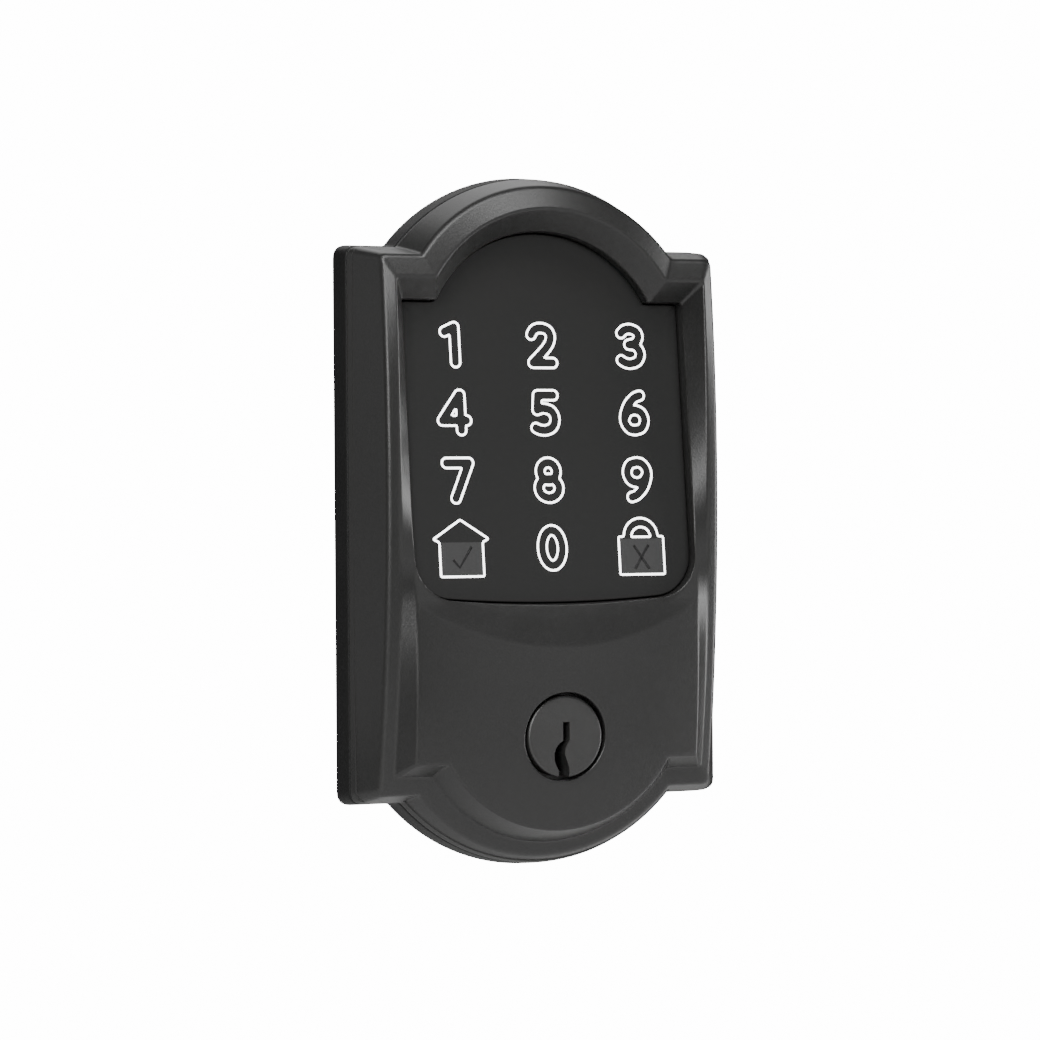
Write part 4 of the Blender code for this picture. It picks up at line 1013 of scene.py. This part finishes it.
brass = make_material(
    "machined_brass",
    (0.72, 0.5, 0.22),
    metallic=1.0,
    roughness=0.33,
    roughness_spread=0.02,
    mottle=0.03,
    grain_depth=0.015,
    brush=0.5,
)
spring_steel = make_material("spring_wire", (0.6, 0.59, 0.56), metallic=1.0, roughness=0.28, mottle=0.05)

barrel = eased_copy("cylinder_body", "barrel", "housing", brass, 0.15 * MM)
barrel.data.materials.append(plug_black)
for face in barrel.data.polygons:
    face.material_index = 1 if face.center.y < -BLACK_FACE else 0
eased_copy("plug_cap", "cap", "plug", brass, 0.35 * MM)
eased_copy("tailpiece", "tail_blade", "tailpiece", steel, 0.15 * MM)


def dress(node_name, material):
    """The finish of a node that keeps its CAD shape."""
    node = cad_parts[node_name]
    node.data.materials.clear()
    node.data.materials.append(material)


# Each spring stands on its driver pin under the cover strip, and gets a mesh of its own.
dress("pin_cover", brass)
for number in range(1, 6):
    dress(f"key_pin_{number}", brass)
    dress(f"driver_pin_{number}", brass)
    dress(f"pin_spring_{number}", spring_steel)
    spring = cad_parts[f"pin_spring_{number}"]
    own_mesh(spring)


# ---- touch electronics ---------------------------------------------------------------------------
# Behind the screen: foam tape, a milky light guide, the green touch board with its chip, buzzer and
# socket, and a moulded black tray screwed to the cover over all of it.

black_plastic = make_material(
    "black_plastic",
    (0.02, 0.02, 0.02),
    roughness=0.5,
    mottle=0.05,
    grain_depth=0.2,
    grain_scale=1500.0,
)
foam = make_material(
    "foam_tape",
    (0.02, 0.02, 0.02),
    roughness=0.9,
    mottle=0.1,
    grain_depth=0.4,
    grain_scale=1800.0,
)
milky = make_material("milky_acrylic", (0.8, 0.8, 0.78), roughness=0.3, mottle=0.02)
board_green = make_material("solder_mask", (0.015, 0.1, 0.04), roughness=0.35, mottle=0.08, coat=0.3)

dress("lens_seal", foam)
dress("light_guide", milky)
dress("touch_board", board_green)
for node_name in ("touch_chip", "buzzer", "board_socket", "keypad_carrier"):
    dress(node_name, black_plastic)
for number in range(1, 5):
    dress(f"carrier_screw_{number}", steel)


# ---- floor, light and camera ---------------------------------------------------------------------
# A pale floor and an even white surround, six soft boxes, and a long lens from the left of the front.
# Camera rays see floor and surround as plain white. The object sees a matte floor and a dim surround.

WHITE = 15.0
SOFT = 0.07
FLOOR_Z = -0.35


def build_floor():
    pale = bpy.data.materials.new("pale_floor")
    pale.use_nodes = True
    nodes, links = pale.node_tree.nodes, pale.node_tree.links
    nodes.clear()
    out = nodes.new("ShaderNodeOutputMaterial")
    seen = nodes.new("ShaderNodeLightPath")
    glow = nodes.new("ShaderNodeEmission")
    glow.inputs["Color"].default_value = (1.0, 1.0, 1.0, 1.0)
    glow.inputs["Strength"].default_value = WHITE
    matte = nodes.new("ShaderNodeBsdfDiffuse")
    matte.inputs["Color"].default_value = (0.8, 0.8, 0.8, 1.0)
    mix = nodes.new("ShaderNodeMixShader")
    links.new(seen.outputs["Is Camera Ray"], mix.inputs["Fac"])
    links.new(matte.outputs["BSDF"], mix.inputs[1])
    links.new(glow.outputs["Emission"], mix.inputs[2])
    links.new(mix.outputs["Shader"], out.inputs["Surface"])
    bm = bmesh.new()
    bmesh.ops.create_grid(bm, x_segments=1, y_segments=1, size=4.0)
    bmesh.ops.translate(bm, verts=bm.verts, vec=(0, 0, FLOOR_Z))
    floor = finish_mesh("floor", bm, pale, smooth=False)


build_floor()

world = bpy.data.worlds.new("studio")
bpy.context.scene.world = world
world.use_nodes = True
sky_nodes, sky_links = world.node_tree.nodes, world.node_tree.links
sky_nodes.clear()
sky_out = sky_nodes.new("ShaderNodeOutputWorld")
sky_seen = sky_nodes.new("ShaderNodeLightPath")
sky_bright = sky_nodes.new("ShaderNodeBackground")
sky_bright.inputs["Color"].default_value = (1.0, 1.0, 1.0, 1.0)
sky_bright.inputs["Strength"].default_value = WHITE
sky_soft = sky_nodes.new("ShaderNodeBackground")
sky_soft.inputs["Color"].default_value = (1.0, 1.0, 1.0, 1.0)
sky_soft.inputs["Strength"].default_value = SOFT
sky_mix = sky_nodes.new("ShaderNodeMixShader")
sky_links.new(sky_seen.outputs["Is Camera Ray"], sky_mix.inputs["Fac"])
sky_links.new(sky_soft.outputs["Background"], sky_mix.inputs[1])
sky_links.new(sky_bright.outputs["Background"], sky_mix.inputs[2])
sky_links.new(sky_mix.outputs["Shader"], sky_out.inputs["Surface"])


def soft_box(name, place, size, power):
    """A rectangular lamp turned to the object's middle."""
    lamp = bpy.data.lights.new(name, "AREA")
    lamp.shape = "RECTANGLE"
    lamp.size, lamp.size_y = size
    lamp.energy = power
    holder = bpy.data.objects.new(name, lamp)
    bpy.context.scene.collection.objects.link(holder)
    holder.location = place
    holder.rotation_euler = (-Vector(place)).to_track_quat("-Z", "Y").to_euler()


soft_box("key_light", (-0.8, -0.95, 0.6), (0.4, 1.1), 20.0)
soft_box("top_light", (0.0, -0.6, 1.2), (1.2, 0.4), 13.0)
soft_box("left_fill", (-1.2, 0.45, 0.3), (0.5, 1.2), 1.3)
soft_box("right_strip", (1.3, -0.3, 0.1), (0.45, 1.2), 14.0)
soft_box("front_fill", (0.55, -1.4, 0.2), (1.1, 1.0), 3.2)
soft_box("back_light", (0.2, 1.0, 1.0), (1.0, 1.0), 5.0)

# The camera looks right of the door's normal by the yaw, a little down, and stands a little tilted.
CAMERA_PLACE = (-0.32176, -0.68799, 0.00486)
LENS = 141.8
YAW, PITCH, ROLL = math.radians(25.06), math.radians(0.352), math.radians(-0.412)
level = Vector((math.sin(YAW), math.cos(YAW), 0.0))
forward = level * math.cos(PITCH) - Vector((0.0, 0.0, math.sin(PITCH)))
right = Vector((math.cos(YAW), -math.sin(YAW), 0.0))
up = right.cross(forward)
tilted_right = right * math.cos(ROLL) + up * math.sin(ROLL)
tilted_up = up * math.cos(ROLL) - right * math.sin(ROLL)
camera_data = bpy.data.cameras.new("camera")
camera_data.lens = LENS
camera_data.sensor_width = 36.0
camera = bpy.data.objects.new("camera", camera_data)
bpy.context.scene.collection.objects.link(camera)
turn = Matrix((tilted_right, tilted_up, -forward)).transposed()
camera.matrix_world = Matrix.Translation(CAMERA_PLACE) @ turn.to_4x4()
bpy.context.scene.camera = camera
